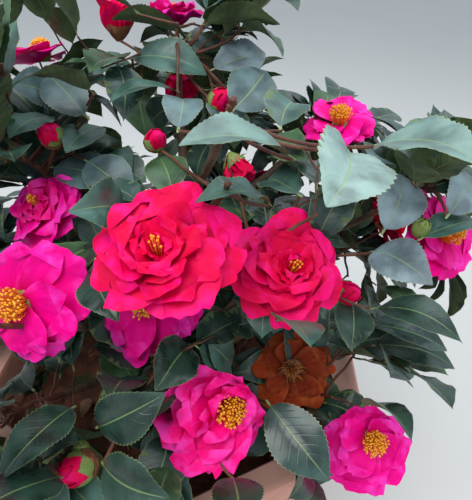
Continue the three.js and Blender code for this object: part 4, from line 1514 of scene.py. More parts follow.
@dataclass(frozen=True)
class LeafFinish:
    """Leather-like leaf: pale midrib and margin, faint side veins, mottled between them."""

    name: str
    colour: Triple
    roughness: float
    midrib: Triple = (0.24, 0.34, 0.12)
    margin: Triple = (0.28, 0.34, 0.14)
    veins: float = 0.12
    relief: float = 0.00007

    def material(self) -> Material:
        """Builds the material.

        Returns:
            A shader whose colour goes from the blade's to the midrib's by distance from the middle.
        """
        paint = Paint(self.name, self.roughness)
        along, aside, _ = paint.blade()
        place = paint.place()
        clouds = paint.noise(place, 55, 4)
        grain = paint.noise(place, 900, 2)
        lighter = tuple(min(1.0, 1.55 * c + 0.006) for c in self.colour)
        darker = tuple(0.62 * c for c in self.colour)
        blade = paint.mix(paint.ramp(clouds, 0.3, 0.7), darker, lighter)
        rise = paint.maths("SUBTRACT", paint.times(along, 9.0), paint.times(aside, 2.1))
        wave = paint.maths("ABSOLUTE", paint.maths("SINE", paint.times(rise, math.pi)))
        vein = paint.times(paint.ramp(wave, 0.0, 0.3, 1.0, 0.0), paint.ramp(aside, 0.6, 0.9, 1.0, 0.0))
        blade = paint.mix(paint.times(vein, self.veins), blade, lighter)
        rib = paint.ramp(aside, 0.012, 0.045, 1.0, 0.0)
        blade = paint.mix(paint.times(rib, 0.6), blade, self.midrib)
        edge = paint.ramp(aside, 0.95, 0.995)
        blade = paint.mix(paint.times(edge, 0.55), blade, self.margin)
        stalk = paint.ramp(along, 0.04, 0.1, 1.0, 0.0)
        blade = paint.mix(stalk, blade, self.midrib)
        rough = paint.ramp(clouds, 0.25, 0.75, self.roughness - 0.05, self.roughness + 0.09)
        raised = paint.maths("SUBTRACT", paint.times(grain, 0.35), paint.maths("ADD", vein, rib))
        return paint.finish(blade, rough, raised, self.relief)


@dataclass(frozen=True)
class PetalFinish:
    """Petal: darker at its base as painted shade deep in the flower, paler towards the margin as a painted
    highlight, with fine streaks along it.
    """

    name: str
    heart: Triple
    body: Triple
    edge: Triple
    # How far the painted highlight on the margin shows
    highlight_share: float = 0.5
    streak: float = 0.3
    roughness: float = 0.42

    def material(self) -> Material:
        """Builds the material.

        Returns:
            A shader whose colour follows the share along the petal, from painted shade at the base to a
            painted highlight at the margin, streaked by noise drawn out lengthways.
        """
        paint = Paint(self.name, self.roughness, 0.1)
        along, aside, source = paint.blade()
        streaks = paint.noise(source, 3.2, 4, (0.7, 11, 1))
        clouds = paint.noise(paint.place(), 70, 3)
        # Painted shade: the heart colour darkens the petal towards its base, deep in the flower
        colour = paint.mix(paint.ramp(along, 0.05, 0.55), self.heart, self.body)
        colour = paint.mix(paint.times(paint.ramp(clouds, 0.5, 0.8), 0.35), colour, self.heart)
        # Painted highlight: the edge colour paints light on the petal's margin, in patches
        border = paint.ramp(paint.maths("MAXIMUM", along, paint.times(aside, 0.97)), 0.72, 1.0)
        edge_highlight = paint.times(border, paint.ramp(clouds, 0.35, 0.6, self.highlight_share, 0.0))
        colour = paint.mix(edge_highlight, colour, self.edge)
        lines = paint.times(paint.ramp(streaks, 0.52, 0.72), self.streak)
        colour = paint.mix(lines, colour, self.edge)
        rough = paint.ramp(clouds, 0.3, 0.7, self.roughness - 0.06, self.roughness + 0.1)
        return paint.finish(colour, rough, streaks, 0.0003)


@dataclass(frozen=True)
class MottledFinish:
    """A natural surface in two colours: cloudy patches, fine specks and relief."""

    name: str
    first: Triple
    second: Triple
    scale: float
    roughness: float
    relief: float = 0.0004
    stretch: Triple = (1, 1, 1)
    third: Triple | None = None
    specular: float = 0.3
    speckled: float = 0.6

    def material(self) -> Material:
        """Builds the material.

        Returns:
            A shader mixing the colours by noise in two sizes, with its relief from the finer one.
        """
        paint = Paint(self.name, self.roughness, self.specular)
        place = paint.place()
        clouds = paint.noise(place, self.scale, 5, self.stretch)
        specks = paint.noise(place, self.scale * 6, 3, self.stretch)
        colour = paint.mix(paint.ramp(clouds, 0.35, 0.65), self.first, self.second)
        dark = tuple(0.55 * c for c in self.first)
        colour = paint.mix(paint.ramp(specks, 0.55, 0.7, 0.0, self.speckled), colour, dark)
        if self.third is not None:
            patches = paint.noise(place, self.scale * 0.35, 4)
            colour = paint.mix(paint.ramp(patches, 0.56, 0.62, 0.0, 0.85), colour, self.third)
        rough = paint.ramp(clouds, 0.3, 0.7, self.roughness - 0.1, min(1.0, self.roughness + 0.08))
        height = paint.maths("ADD", clouds, paint.times(specks, 0.6))
        return paint.finish(colour, rough, height, self.relief)


@dataclass(frozen=True)
class PotFinish:
    """Moulded plastic: fine grain, painted light that makes the upward faces paler, pale water marks and
    specks of earth.
    """

    name: str = "moulded_plastic"
    body: Triple = (0.62, 0.285, 0.215)
    # The paler colour of the upward faces, as painted light, and of the water marks
    lit_top_and_marks: Triple = (0.76, 0.44, 0.36)
    earth: Triple = (0.16, 0.085, 0.05)

    def material(self) -> Material:
        """Builds the material.

        Returns:
            A shader that bleaches what faces up, and scatters water marks and earth by noise.
        """
        paint = Paint(self.name, 0.48, 0.4)
        place = paint.place()
        grain = paint.noise(place, 1400, 2)
        clouds = paint.noise(place, 14, 5)
        runs = paint.noise(place, 22, 5, (1, 1, 0.12))
        specks = paint.noise(place, 210, 3)
        colour = paint.mix(paint.ramp(clouds, 0.3, 0.7), self.body, tuple(0.86 * c for c in self.body))
        # Painted light: faces that look up take the paler colour, as if lit from above
        colour = paint.mix(paint.times(self.facing_up(paint), 0.75), colour, self.lit_top_and_marks)
        colour = paint.mix(paint.ramp(runs, 0.58, 0.75, 0.0, 0.35), colour, self.lit_top_and_marks)
        colour = paint.mix(paint.ramp(specks, 0.69, 0.73, 0.0, 0.8), colour, self.earth)
        rough = paint.ramp(clouds, 0.25, 0.75, 0.4, 0.6)
        return paint.finish(colour, rough, paint.maths("ADD", grain, paint.times(clouds, 0.4)), 0.00012)

    @staticmethod
    def facing_up(paint: Paint) -> Socket:
        """Share by which the surface faces up, from its normal's height."""
        parts = paint.node("ShaderNodeSeparateXYZ")
        paint.join(paint.node("ShaderNodeNewGeometry").outputs["Normal"], parts.inputs[0])
        return paint.ramp(parts.outputs[2], 0.6, 0.98)


@dataclass(frozen=True)
class BladeShape:
    """A leaf's make: rows of points along it, columns across it, and how it stands off its own plane.

    The ranges are those of arch, fold, twist, wave, the wave's phase, sway and recurve.
    """

    rows: int
    columns: int
    stalk: float = 0.085
    stalk_half: float = 0.9
    thickness: float = 0.7
    tooth: float = 0.035
    ranges: tuple[tuple[float, float], ...] = (
        (0.05, 0.15), (0.06, 0.26), (-0.5, 0.5), (0.2, 1.5), (0, 6.28), (-0.05, 0.05), (0.0, 0.14)
    )

    def half_width(self, share: Array) -> Array:
        """Half width over the leaf's half width: a sine that rises early and closes to a point at the tip."""
        s = np.clip((share - self.stalk) / (1 - self.stalk), 0, 1)
        return np.sin(np.pi * s**0.92) ** (0.62 + 0.36 * s)

    def rings(self, leaves: list[Leaf], numbers: Numbers) -> tuple[Array, Array, Array, Array]:
        """Rings of many leaves at once.

        Args:
            leaves: the leaves.
            numbers: seeded numbers for arch, fold, twist and waves.

        Returns:
            Rings, first poles, last poles and maps. A point is the base plus share along, drawn back at
            the sides by the leaf's lobes, half width across a line that twists, and out of the face the
            sum of an arch, a fold and waves that grow to the edge.
        """
        keys = ("base", "along", "across", "normal", "length", "width", "lobes")
        base, along, aside, normal, length, width, lobes = (
            np.array([getattr(leaf, key) for leaf in leaves])[:, None, None] for key in keys
        )
        arch, fold, twist, wave, phase, sway, recurve = numbers.for_each(len(leaves), *self.ranges)
        blade = np.linspace(self.stalk, 0.985, self.rows - 2)
        share = np.concatenate([[0.0, 0.6 * self.stalk], blade])[None, :, None]
        across, side, _ = around_blade(self.columns)
        v = across[None, None]
        outline = self.half_width(share)
        tooth = np.where((np.arange(self.rows) % 2 == 0)[None, :, None], self.tooth, -self.tooth)
        edge = 1 + tooth * (np.abs(v) > 0.99)
        half = (self.stalk_half * (1 - outline) * (share < 0.5) + 0.5 * width * outline * edge) * v
        lift = arch * length * 4 * share * (1 - share) + np.abs(half) * 2 * fold * (1 - 0.35 * np.abs(v))
        lift = lift + wave * np.abs(v) ** 3 * np.sin(17 * share + phase) * outline
        lift = lift - recurve * length * np.clip(share - 0.62, 0, 1) ** 2 * 4
        lift = lift + self.thickness * 0.5 * side[None, None] * np.sqrt(np.clip(1 - v**2, 0.02, 1))
        turn = twist * (share - 0.3)
        drift = sway * length * np.sin(np.pi * share)

        flat = half * np.cos(turn) + drift
        up = lift + half * np.sin(turn)
        reach = (share - lobes * np.abs(v) ** 1.5 * outline * (1 - share)) * length
        rings = base + reach[..., None] * along + flat[..., None] * aside + up[..., None] * normal
        middle = rings.mean(axis=2)
        first = base[:, 0, 0] - along[:, 0, 0] * 0.5
        last = middle[:, -1] + (middle[:, -1] - middle[:, -2]) * 0.35
        return rings, first, last, blade_map(share, v)


NEAR_BLADE = BladeShape(rows=40, columns=9)
MAIN_BLADE = BladeShape(rows=22, columns=5, tooth=0.03)
FINE_BLADE = BladeShape(rows=12, columns=5, tooth=0.02)


@dataclass(frozen=True)
class Whorl:
    """A ring of petals: how many, their length and width over the radius, how they rise and ruffle."""

    count: int
    length: float
    width: float
    rise: tuple[float, float]
    ruffle: float = 0.05
    notch: float = 0.08
    cup: float = 0.1
    start: float = -0.36
    finish: int = 0


class PetalHue(Enum):
    """Petal colours: heart (painted shade at the petal's base), body and edge (painted highlight on the
    margin), how far the edge shows, and how strong the streaks are.
    """

    ROSE = ((0.44, 0.0, 0.018), (0.76, 0.0, 0.066), (0.94, 0.006, 0.22), 0.75, 0.16)
    RUBY = ((0.40, 0.0, 0.014), (0.76, 0.0, 0.055), (0.94, 0.008, 0.20), 0.7, 0.16)
    MAGENTA = ((0.60, 0.0, 0.10), (0.88, 0.0, 0.26), (0.97, 0.05, 0.52), 0.75, 0.18)
    STRIPED = ((0.60, 0.0, 0.06), (0.90, 0.0, 0.19), (0.97, 0.05, 0.45), 0.8, 0.3)
    RUST = ((0.05, 0.008, 0.004), (0.36, 0.045, 0.012), (0.50, 0.13, 0.035), 0.6, 0.5)
    EMBER = ((0.04, 0.007, 0.004), (0.24, 0.030, 0.010), (0.40, 0.09, 0.025), 0.6, 0.5)


@dataclass(frozen=True)
class FlowerMake:
    """How a form of flower is made: its stamens, the hues of outer and inner whorls, and the whorls."""

    stamens: int
    hues: tuple[PetalHue, PetalHue]
    whorls: tuple[Whorl, ...]


FULL_WHORLS = (
    Whorl(5, 1.16, 1.4, (20, -16), 0.05, 0.27, 0.06),
    Whorl(5, 0.98, 1.2, (32, -2), 0.08, 0.25, 0.08),
    Whorl(4, 0.72, 1.0, (50, 16), 0.11, 0.2, 0.10, finish=1),
    Whorl(3, 0.5, 0.75, (62, 26), 0.13, 0.18, 0.14, finish=1),
    Whorl(2, 0.36, 0.5, (74, 44), 0.14, 0.12, 0.2, finish=1),
)
MAKES: dict[BloomForm, FlowerMake] = {
    BloomForm.FULL: FlowerMake(8, (PetalHue.ROSE, PetalHue.RUBY), FULL_WHORLS),
    BloomForm.DOUBLE: FlowerMake(14, (PetalHue.MAGENTA, PetalHue.STRIPED), FULL_WHORLS),
    BloomForm.OPEN: FlowerMake(110, (PetalHue.MAGENTA, PetalHue.MAGENTA), (
        Whorl(5, 1.14, 1.3, (24, -14), 0.06, 0.2, 0.06),
        Whorl(4, 0.98, 1.15, (34, -2), 0.09, 0.18, 0.08),
    )),
    BloomForm.STREAKED: FlowerMake(110, (PetalHue.STRIPED, PetalHue.MAGENTA), (
        Whorl(6, 1.12, 1.15, (28, -14), 0.07, 0.2, 0.08),
        Whorl(5, 0.96, 1.0, (42, 0), 0.1, 0.2, 0.12),
        Whorl(4, 0.76, 0.8, (60, 22), 0.13, 0.16, 0.2),
    )),
    BloomForm.CUPPED: FlowerMake(60, (PetalHue.MAGENTA, PetalHue.ROSE), (
        Whorl(6, 1.12, 1.05, (52, 4), 0.1, 0.14, 0.12),
        Whorl(5, 0.95, 0.95, (66, 30), 0.12, 0.12, 0.16),
    )),
    BloomForm.OPENING: FlowerMake(0, (PetalHue.ROSE, PetalHue.MAGENTA), (
        Whorl(5, 1.35, 1.15, (78, 48), 0.06, 0.1, 0.2),
        Whorl(5, 1.15, 0.95, (88, 70), 0.08, 0.08, 0.2),
    )),
    BloomForm.WITHERED: FlowerMake(30, (PetalHue.RUST, PetalHue.EMBER), (
        Whorl(5, 1.16, 1.35, (12, -20), 0.05, 0.4, 0.02),
        Whorl(4, 0.85, 1.1, (22, -10), 0.08, 0.36, 0.03, finish=1),
    )),
}
SCALE_START = -0.46


@dataclass
class FlowerMaker:
    """Builds flowers and buds in one mesh, each petal or scale a thin closed blade of its own shape.

    The ranges are those of a petal's turn, length, width, first and last rise, the phase of its folds, and
    the place and depth of its notch.
    """

    skins: Skins
    numbers: Numbers
    thickness: float = 0.5
    anther: float = 0.95
    filament: float = 0.3
    ranges: tuple[tuple[float, float], ...] = (
        (-0.24, 0.24), (0.82, 1.07), (0.88, 1.12), (-5, 5), (-12, 12), (0, 6.28), (-0.35, 0.35), (0.1, 1.5)
    )

    @staticmethod
    def drawn(local: Array, bloom: Bloom, axes: Array) -> Array:
        """Draws the heart of a flower aside.

        Args:
            local: places round Z.
            bloom: the flower.
            axes: its axes.

        Returns:
            Each place moved by the heart's offset times one less the square of its distance over the radius.
        """
        right, up, _ = VIEW.axes()
        aside = axes[:2] @ (bloom.heart[0] * right + bloom.heart[1] * up) * bloom.radius
        share = np.clip((local[..., :2] ** 2).sum(axis=-1, keepdims=True) / bloom.radius**2, 0, 1)
        return np.concatenate([local[..., :2] + aside * (1 - share), local[..., 2:]], axis=-1)

    @staticmethod
    def axes(axis: Array, turn: float) -> Array:
        """Two directions square to a flower's axis, turned round it, and the axis."""
        side = unit(np.cross(axis, point((0.21, 0.93, 0.3))))
        over = np.cross(axis, side)
        first = side * math.cos(turn) + over * math.sin(turn)
        return np.array([first, np.cross(axis, first), axis])

    def petals(self, bloom: Bloom, whorl: Whorl, rank: int, finishes: tuple[int, int]) -> None:
        """Adds one whorl of petals.

        A point of a petal: out and up follow an arc whose slope goes from the whorl's first rise to its
        last, the width grows as a sine to half way and closes as an ellipse with a notch. Waves that run
        round the whole flower lift neighbouring petals alike, each petal's own folds grow to its margin,
        and one side of each lies over the next.

        Args:
            bloom: the flower.
            whorl: the ring of petals.
            rank: which whorl it is, from outside.
            finishes: finish numbers of the petal's inner and outer face.
        """
        count, radius = whorl.count, bloom.radius
        rows, columns = (16, 23) if bloom.centre[1] < NEAR_BLOOMS else (9, 9)
        draws = self.numbers.for_each(count, *self.ranges)
        turned, longer, wider, raised, fallen, phase, skew, notched = draws
        turn = 2 * np.pi * (np.arange(count)[:, None, None] + 0.5 * (rank % 2)) / count + turned
        length = radius * whorl.length * longer
        width = radius * whorl.width * wider
        rise = np.radians(whorl.rise[0] + raised)
        fall = np.radians(whorl.rise[1] + fallen) - rise
        bend = np.where(np.abs(fall) < 0.02, 0.02, fall)
        u = np.linspace(0.03, 1, rows)[None, :, None]
        across, side, under = around_blade(columns)
        v = np.sin(0.5 * np.pi * across)[None, None]
        rounded = np.sqrt(np.clip(1 - 0.996 * v**2, 0, 1))
        outer = 0.5 + 0.5 * rounded - rounded * (whorl.notch * notched) * np.exp(-((v - skew) ** 2) / 0.03)
        outer = outer + 0.03 * rounded * (np.sin(9 * v + phase) + 0.8 * np.sin(17 * v - 2 * phase))
        slope = rise + fall * (u * outer)
        out = length * (np.sin(slope) - np.sin(rise)) / bend
        up = length * (np.cos(rise) - np.cos(slope)) / bend
        half = 0.5 * width * (0.2 + 0.8 * np.sin(0.5 * np.pi * u)) * v
        x, y = spun(out, half, turn)
        round_axis, share = np.arctan2(y, x), np.hypot(x, y) / radius
        shifts = np.array([0.9, 2.3, 4.1]) * bloom.seed
        wave = np.sin(3 * round_axis + shifts[0] + 1.5 * share)
        wave = wave + 0.8 * np.sin(5 * round_axis + shifts[1] - 2 * share)
        wave = wave + 0.5 * np.sin(8 * round_axis + shifts[2] + 3 * share)
        fold = np.sin(6 * v + phase) * u**2 + 0.8 * np.sin(13 * v + 2 * phase) * u**4
        fold = fold - 0.7 * u * np.exp(-((v - skew) ** 2) / 0.02)
        lift = whorl.cup * width * v**2 * (0.4 + 0.6 * u) + 0.09 * width * v
        lift = lift + whorl.ruffle * radius * (0.6 * wave * share**1.5 + 0.4 * fold)
        lift = lift + self.thickness * 0.5 * side[None, None]
        out = out - lift * np.sin(slope) + 0.04 * radius
        up = up + lift * np.cos(slope) + whorl.start * radius + 0.035 * rank * radius
        axes = self.axes(bloom.axis, 0.7 * bloom.seed)
        local = np.stack([*spun(out, half, turn), up], axis=-1)
        rings = bloom.centre + self.drawn(local, bloom, axes) @ axes
        self.add_blades(rings, blade_map(u, v), np.where(under == 1, finishes[1], finishes[0])[None])

    def add_blades(self, rings: Array, maps: Array, finish: Array) -> None:
        """Adds blades, each closed at the middles of its first and last ring."""
        self.skins.add(rings, rings[:, 0].mean(axis=1), rings[:, -1].mean(axis=1), maps, finish)

    def stamens(self, bloom: Bloom, finishes: tuple[int, int]) -> None:
        """Adds the stamens: bars that fan out from the heart to a dome, each tipped with a grain.

        Args:
            bloom: the flower.
            finishes: finish numbers of the bars and of the grains.
        """
        count = MAKES[bloom.form].stamens
        if count == 0:
            return
        share = np.sqrt((np.arange(count) + 0.5) / count)
        turn = GOLDEN_ANGLE * np.arange(count) + self.numbers.array(count, -0.2, 0.2)
        spread = (0.33 if count > 20 else 0.11) * bloom.radius
        ring = spread * share * self.numbers.array(count, 0.85, 1.1)
        height = bloom.radius * (0.3 - 0.15 * share**2 + self.numbers.array(count, -0.04, 0.04))
        top = polar(ring, turn, height)
        foot = polar(0.35 * ring, turn, -0.3 * bloom.radius)
        along = np.array([0, 0.5, 1.0])[None, :, None]
        bowed = np.array([0.0, 0.12, 0.0])[None, :, None]
        line = foot[:, None] + (top - foot)[:, None] * along + bowed * (top * [1, 1, 0])[:, None]
        circle = polar(1.0, np.linspace(0, 2 * np.pi, 4, endpoint=False))
        self.place(line[:, :, None] + self.filament * circle[None, None], bloom, finishes[0])
        grow = np.array([0.7, 1.0, 0.7])[None, :, None, None] * self.anther
        rise = np.array([-0.7, 0.0, 0.7])[None, :, None] * self.anther * UP
        self.place(top[:, None, None] + grow * circle[None, None] + rise[:, :, None], bloom, finishes[1])

    def place(self, rings: Array, bloom: Bloom, finish: int, turn: float = 0.7) -> None:
        """Turns rings made round Z to a flower's axes and adds them, closed just past their own ends.

        Args:
            rings: places round Z, as copies by rings by points by three.
            bloom: the flower.
            finish: the finish number.
            turn: how far the seed turns them round the axis.
        """
        axes = self.axes(bloom.axis, turn * bloom.seed)
        placed = bloom.centre + self.drawn(rings, bloom, axes) @ axes
        around = rings.shape[2]
        poles = placed.mean(axis=2)
        first = poles[:, 0] + 0.3 * (poles[:, 0] - poles[:, 1])
        last = poles[:, -1] + 0.3 * (poles[:, -1] - poles[:, -2])
        self.skins.add(placed, first, last, ring_map(rings.shape[1], around), np.full((1, around), finish))

    def bud(self, bud: Bud, pink: int, green: int, russet: int) -> None:
        """A bud: an egg with scales that wrap it from the base.

        Args:
            bud: the bud.
            pink: finish number of the petals in it.
            green: finish number of green scales.
            russet: finish number of brown scales.
        """
        level = np.linspace(-0.96, 0.96, 11)
        wide = np.sqrt(1 - level**2) * (1 - 0.16 * level)
        turn = np.linspace(0, 2 * np.pi, 18, endpoint=False)
        groove = 1 + 0.05 * np.sin(5 * turn[None] + 3 * level[:, None])
        reach = 0.86 * bud.radius * wide[:, None] * groove
        showing = bud.form is BudForm.SHOWING
        core = pink if showing else green
        holder = Bloom("", bud.centre, bud.radius, bud.axis, BloomForm.OPENING, bud.seed)
        self.place(polar(reach, turn, 1.2 * bud.radius * level[:, None])[None], holder, core, 0.4)
        self.wrap(bud, 5, 0.85, 1.06, core)
        self.wrap(bud, 5, 0.62 if showing else 0.97, 1.1, green)
        self.wrap(bud, 4, 0.42 if showing else 0.7, 1.15, russet if showing else green)

    def wrap(self, bud: Bud, count: int, top: float, off: float, finish: int) -> None:
        """Adds scales that lie round a bud like the leaves of an artichoke.

        A point of a scale stands on the bud's egg: its angle from the foot grows with the share along, its
        turn round the axis with the share across, narrowing to the tip, and it stands a little further off
        at the tip.

        Args:
            bud: the bud.
            count: how many scales.
            top: how far up they reach, from 0 at the foot to 1 at the tip.
            off: how far off they stand, over the egg.
            finish: finish number.
        """
        across, side, _ = around_blade(9)
        u = np.linspace(0.02, 1, 9)[None, :, None]
        v = across[None, None]
        longer, turned = self.numbers.for_each(count, (0.86, 1.06), (-0.12, 0.12))
        turn = 2 * np.pi * (np.arange(count)[:, None, None] + turned) / count
        angle = np.pi * (0.06 + 0.9 * (top * longer) * u * (1 - 0.1 * v**2))
        around = turn + v * 1.35 * (2 * np.pi / count) * 0.62 * np.sqrt(np.clip(1 - 0.97 * u**2.6, 0, 1))
        stand = bud.radius * (off + 0.04 * u + 0.03 * v + 0.02 * side[None, None])
        level = -np.cos(angle)
        out = 0.86 * stand * np.sin(angle) * (1 - 0.16 * level)
        rings = bud.centre + polar(out, around, 1.2 * stand * level) @ self.axes(bud.axis, 0.4 * bud.seed)
        self.add_blades(rings, blade_map(u, v), np.full((1, len(across)), finish))


FINISHES: tuple[LeafFinish | MottledFinish | PotFinish, ...] = (
    LeafFinish(
        "leaf_underside", (0.078, 0.118, 0.045), 0.6, (0.30, 0.36, 0.13), (0.2, 0.25, 0.09), 0.6, 0.0006
    ),
    LeafFinish(
        "leaf_fallen", (0.16, 0.085, 0.04), 0.75, (0.24, 0.14, 0.07), (0.10, 0.05, 0.025), 0.8, 0.0008
    ),
    MottledFinish("filament", (0.90, 0.30, 0.02), (0.94, 0.46, 0.08), 90, 0.5, 0.0001, speckled=0.1),
    MottledFinish("pollen", (0.92, 0.38, 0.012), (0.96, 0.52, 0.05), 300, 0.75, 0.0003, speckled=0.1),
    MottledFinish("spent_anther", (0.06, 0.02, 0.01), (0.16, 0.06, 0.02), 200, 0.8, 0.0003),
    MottledFinish("green_scale", (0.17, 0.25, 0.06), (0.28, 0.33, 0.10), 120, 0.45, 0.0002),
    MottledFinish("russet_scale", (0.16, 0.055, 0.03), (0.30, 0.13, 0.06), 160, 0.55, 0.0003),
    MottledFinish("young_twig", (0.085, 0.028, 0.020), (0.145, 0.060, 0.034), 110, 0.5, 0.0003, (1, 1, 0.4)),
    MottledFinish(
        "bark", (0.095, 0.058, 0.040), (0.19, 0.13, 0.09), 70, 0.85, 0.0009, (1, 1, 0.25),
        (0.09, 0.115, 0.055),
    ),
    MottledFinish(
        "potting_earth", (0.070, 0.024, 0.014), (0.150, 0.055, 0.032), 60, 0.95, 0.0015,
        third=(0.035, 0.050, 0.014),
    ),
    MottledFinish("earth_crumb", (0.095, 0.036, 0.022), (0.20, 0.090, 0.055), 120, 0.95, 0.001),
    PotFinish(),
)


class Palette:
    """All the finishes of the plant, each made once and kept by its name."""

    def __init__(self) -> None:
        """Builds each material."""
        finishes = [LeafFinish(f"leaf_{tint.name.lower()}", *tint.value) for tint in Tint]
        for hue in PetalHue:
            rough = 0.75 if hue in (PetalHue.RUST, PetalHue.EMBER) else 0.5
            finishes.append(PetalFinish(f"petal_{hue.name.lower()}", *hue.value, rough))
        self.made = {finish.name: finish.material() for finish in (*finishes, *FINISHES)}

    def pick(self, *names: str) -> list[Material]:
        """The materials of some names."""
        return [self.made[name] for name in names]


def settle(piece: Piece, slot: str, *nodes: str) -> Piece:
    """Puts a piece on the plant: on its body, in place of its nodes, and reports it.

    Args:
        piece: the piece.
        slot: not used.
        nodes: the CAD nodes that it stands for.

    Returns:
        The piece.
    """
    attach(piece, "root")
    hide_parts(*nodes)
    log.info("%s: %d faces", piece.name, len(piece.data.polygons))
    return piece


@dataclass
class SixSidedPot:
    """The pot: a tapered six-sided wall with rounded corners, a flat rim turned down, and a floor."""

    palette: Palette
    corner_radius: float = 7.0
    floor_ring: float = 60.0
    section_step: float = 24.0
    arc_points: int = 6
    side_points: int = 7

    def plan(self, apothem: Array) -> Array:
        """Plan curves of a six-sided shape with rounded corners.

        Args:
            apothem: distance from the middle to a flat, for each ring.

        Returns:
            Ring points across X and Y: each corner of a smaller hexagon plus a round arc, with even points
            along the straight sides between the arcs.
        """
        rounding = np.minimum(self.corner_radius, 0.5 * apothem)[:, None]
        inner = (apothem[:, None] - rounding) / math.cos(math.pi / 6)
        corner = np.radians(30 + 60 * np.arange(6))
        sweep = np.radians(np.linspace(-30, 30, self.arc_points))
        turn = corner[:, None] + sweep
        arcs = np.stack([
            inner[..., None] * f(corner)[None, :, None] + rounding[..., None] * f(turn)[None]
            for f in (np.cos, np.sin)
        ], axis=-1)
        following = np.roll(arcs, -1, axis=1)[:, :, :1]
        share = np.linspace(0, 1, self.side_points + 2)[1:-1][None, None, :, None]
        sides = arcs[:, :, -1:] * (1 - share) + following * share
        return np.concatenate([arcs, sides], axis=2).reshape(len(apothem), -1, 2)

    def profile(self) -> Array:
        """Section of the pot from under its floor round the rim to inside, as apothem and height."""
        rim, top = OPENING_APOTHEM + RIM_WIDTH, POT_HEIGHT
        inner_foot = BASE_APOTHEM - WALL
        rows = np.array([
            (self.floor_ring, 0), (BASE_APOTHEM - 3, 0), (BASE_APOTHEM, 3),
            (OPENING_APOTHEM + WALL - 0.5, top - WALL - 4),
            (OPENING_APOTHEM + WALL + 4, top - WALL), (rim - WALL - 1, top - WALL),
            (rim - WALL, top - WALL - 2), (rim - WALL, top - LIP_DROP), (rim, top - LIP_DROP),
            (rim, top - 2.5), (rim - 2.5, top), (rim - 9, top), (rim - 10.2, top - 0.7),
            (OPENING_APOTHEM + 2.2, top - 0.7), (OPENING_APOTHEM, top - 3), (inner_foot + 1, FLOOR + 3),
            (inner_foot - 3, FLOOR), (self.floor_ring, FLOOR),
        ], float)
        dense = []
        for start, end in zip(rows, rows[1:]):
            pieces = max(1, int(np.linalg.norm(end - start) / self.section_step))
            dense.append(start + (end - start) * (np.arange(pieces) / pieces)[:, None])
        return np.concatenate([*dense, rows[-1:]])

    def make(self) -> Piece:
        """Makes the pot, with its drain holes cut through the floor.

        Returns:
            The piece.
        """
        section = self.profile()
        plan = self.plan(section[:, 0])
        bow = 0.35 * np.sin(np.arctan2(plan[..., 1], plan[..., 0]) * 3 + 0.4) * (section[:, 1:] / POT_HEIGHT)
        plan = plan * (1 + bow[..., None] / 160)
        heights = np.broadcast_to(section[:, 1:] - POT_HEIGHT, plan.shape[:2])
        skins = Skins()
        rings = np.concatenate([plan, heights[..., None]], axis=-1)
        skins.add_one(rings, -POT_HEIGHT * UP, (FLOOR - POT_HEIGHT) * UP)
        pot = skins.make("pot_shell", self.palette.pick("moulded_plastic"), 38)
        self.drain(pot)
        return settle(pot, "pot", "pot")

    def drain(self, pot: Piece) -> None:
        """Cuts the drain holes: six round bars on a ring are taken out of the floor.

        Args:
            pot: the pot's shell.
        """
        middle = polar(DRAIN_RING, np.arange(6) * math.pi / 3)
        ring = polar(DRAIN_RADIUS, np.linspace(0, 2 * np.pi, 20, endpoint=False))
        heights = (np.array([-6.0, FLOOR + 6.0]) - POT_HEIGHT)[None, :, None, None] * UP
        rings = middle[:, None, None] + ring[None, None] + heights
        poles = middle[:, None] + heights[:, :, 0]
        skins = Skins()
        skins.add(rings, poles[:, 0], poles[:, 1], ring_map(2, 20), np.zeros((1, 20), int))
        cutter = skins.make("drain_cutter", self.palette.pick("moulded_plastic"))
        cut = pot.modifiers.new("drain", "BOOLEAN")
        cut.operation, cut.solver, cut.object = "DIFFERENCE", "EXACT", cutter
        bpy.context.view_layer.update()
        graph = bpy.context.evaluated_depsgraph_get()
        shaped = bpy.data.meshes.new_from_object(pot.evaluated_get(graph))
        pot.modifiers.clear()
        pot.data = shaped
        bpy.data.objects.remove(cutter)


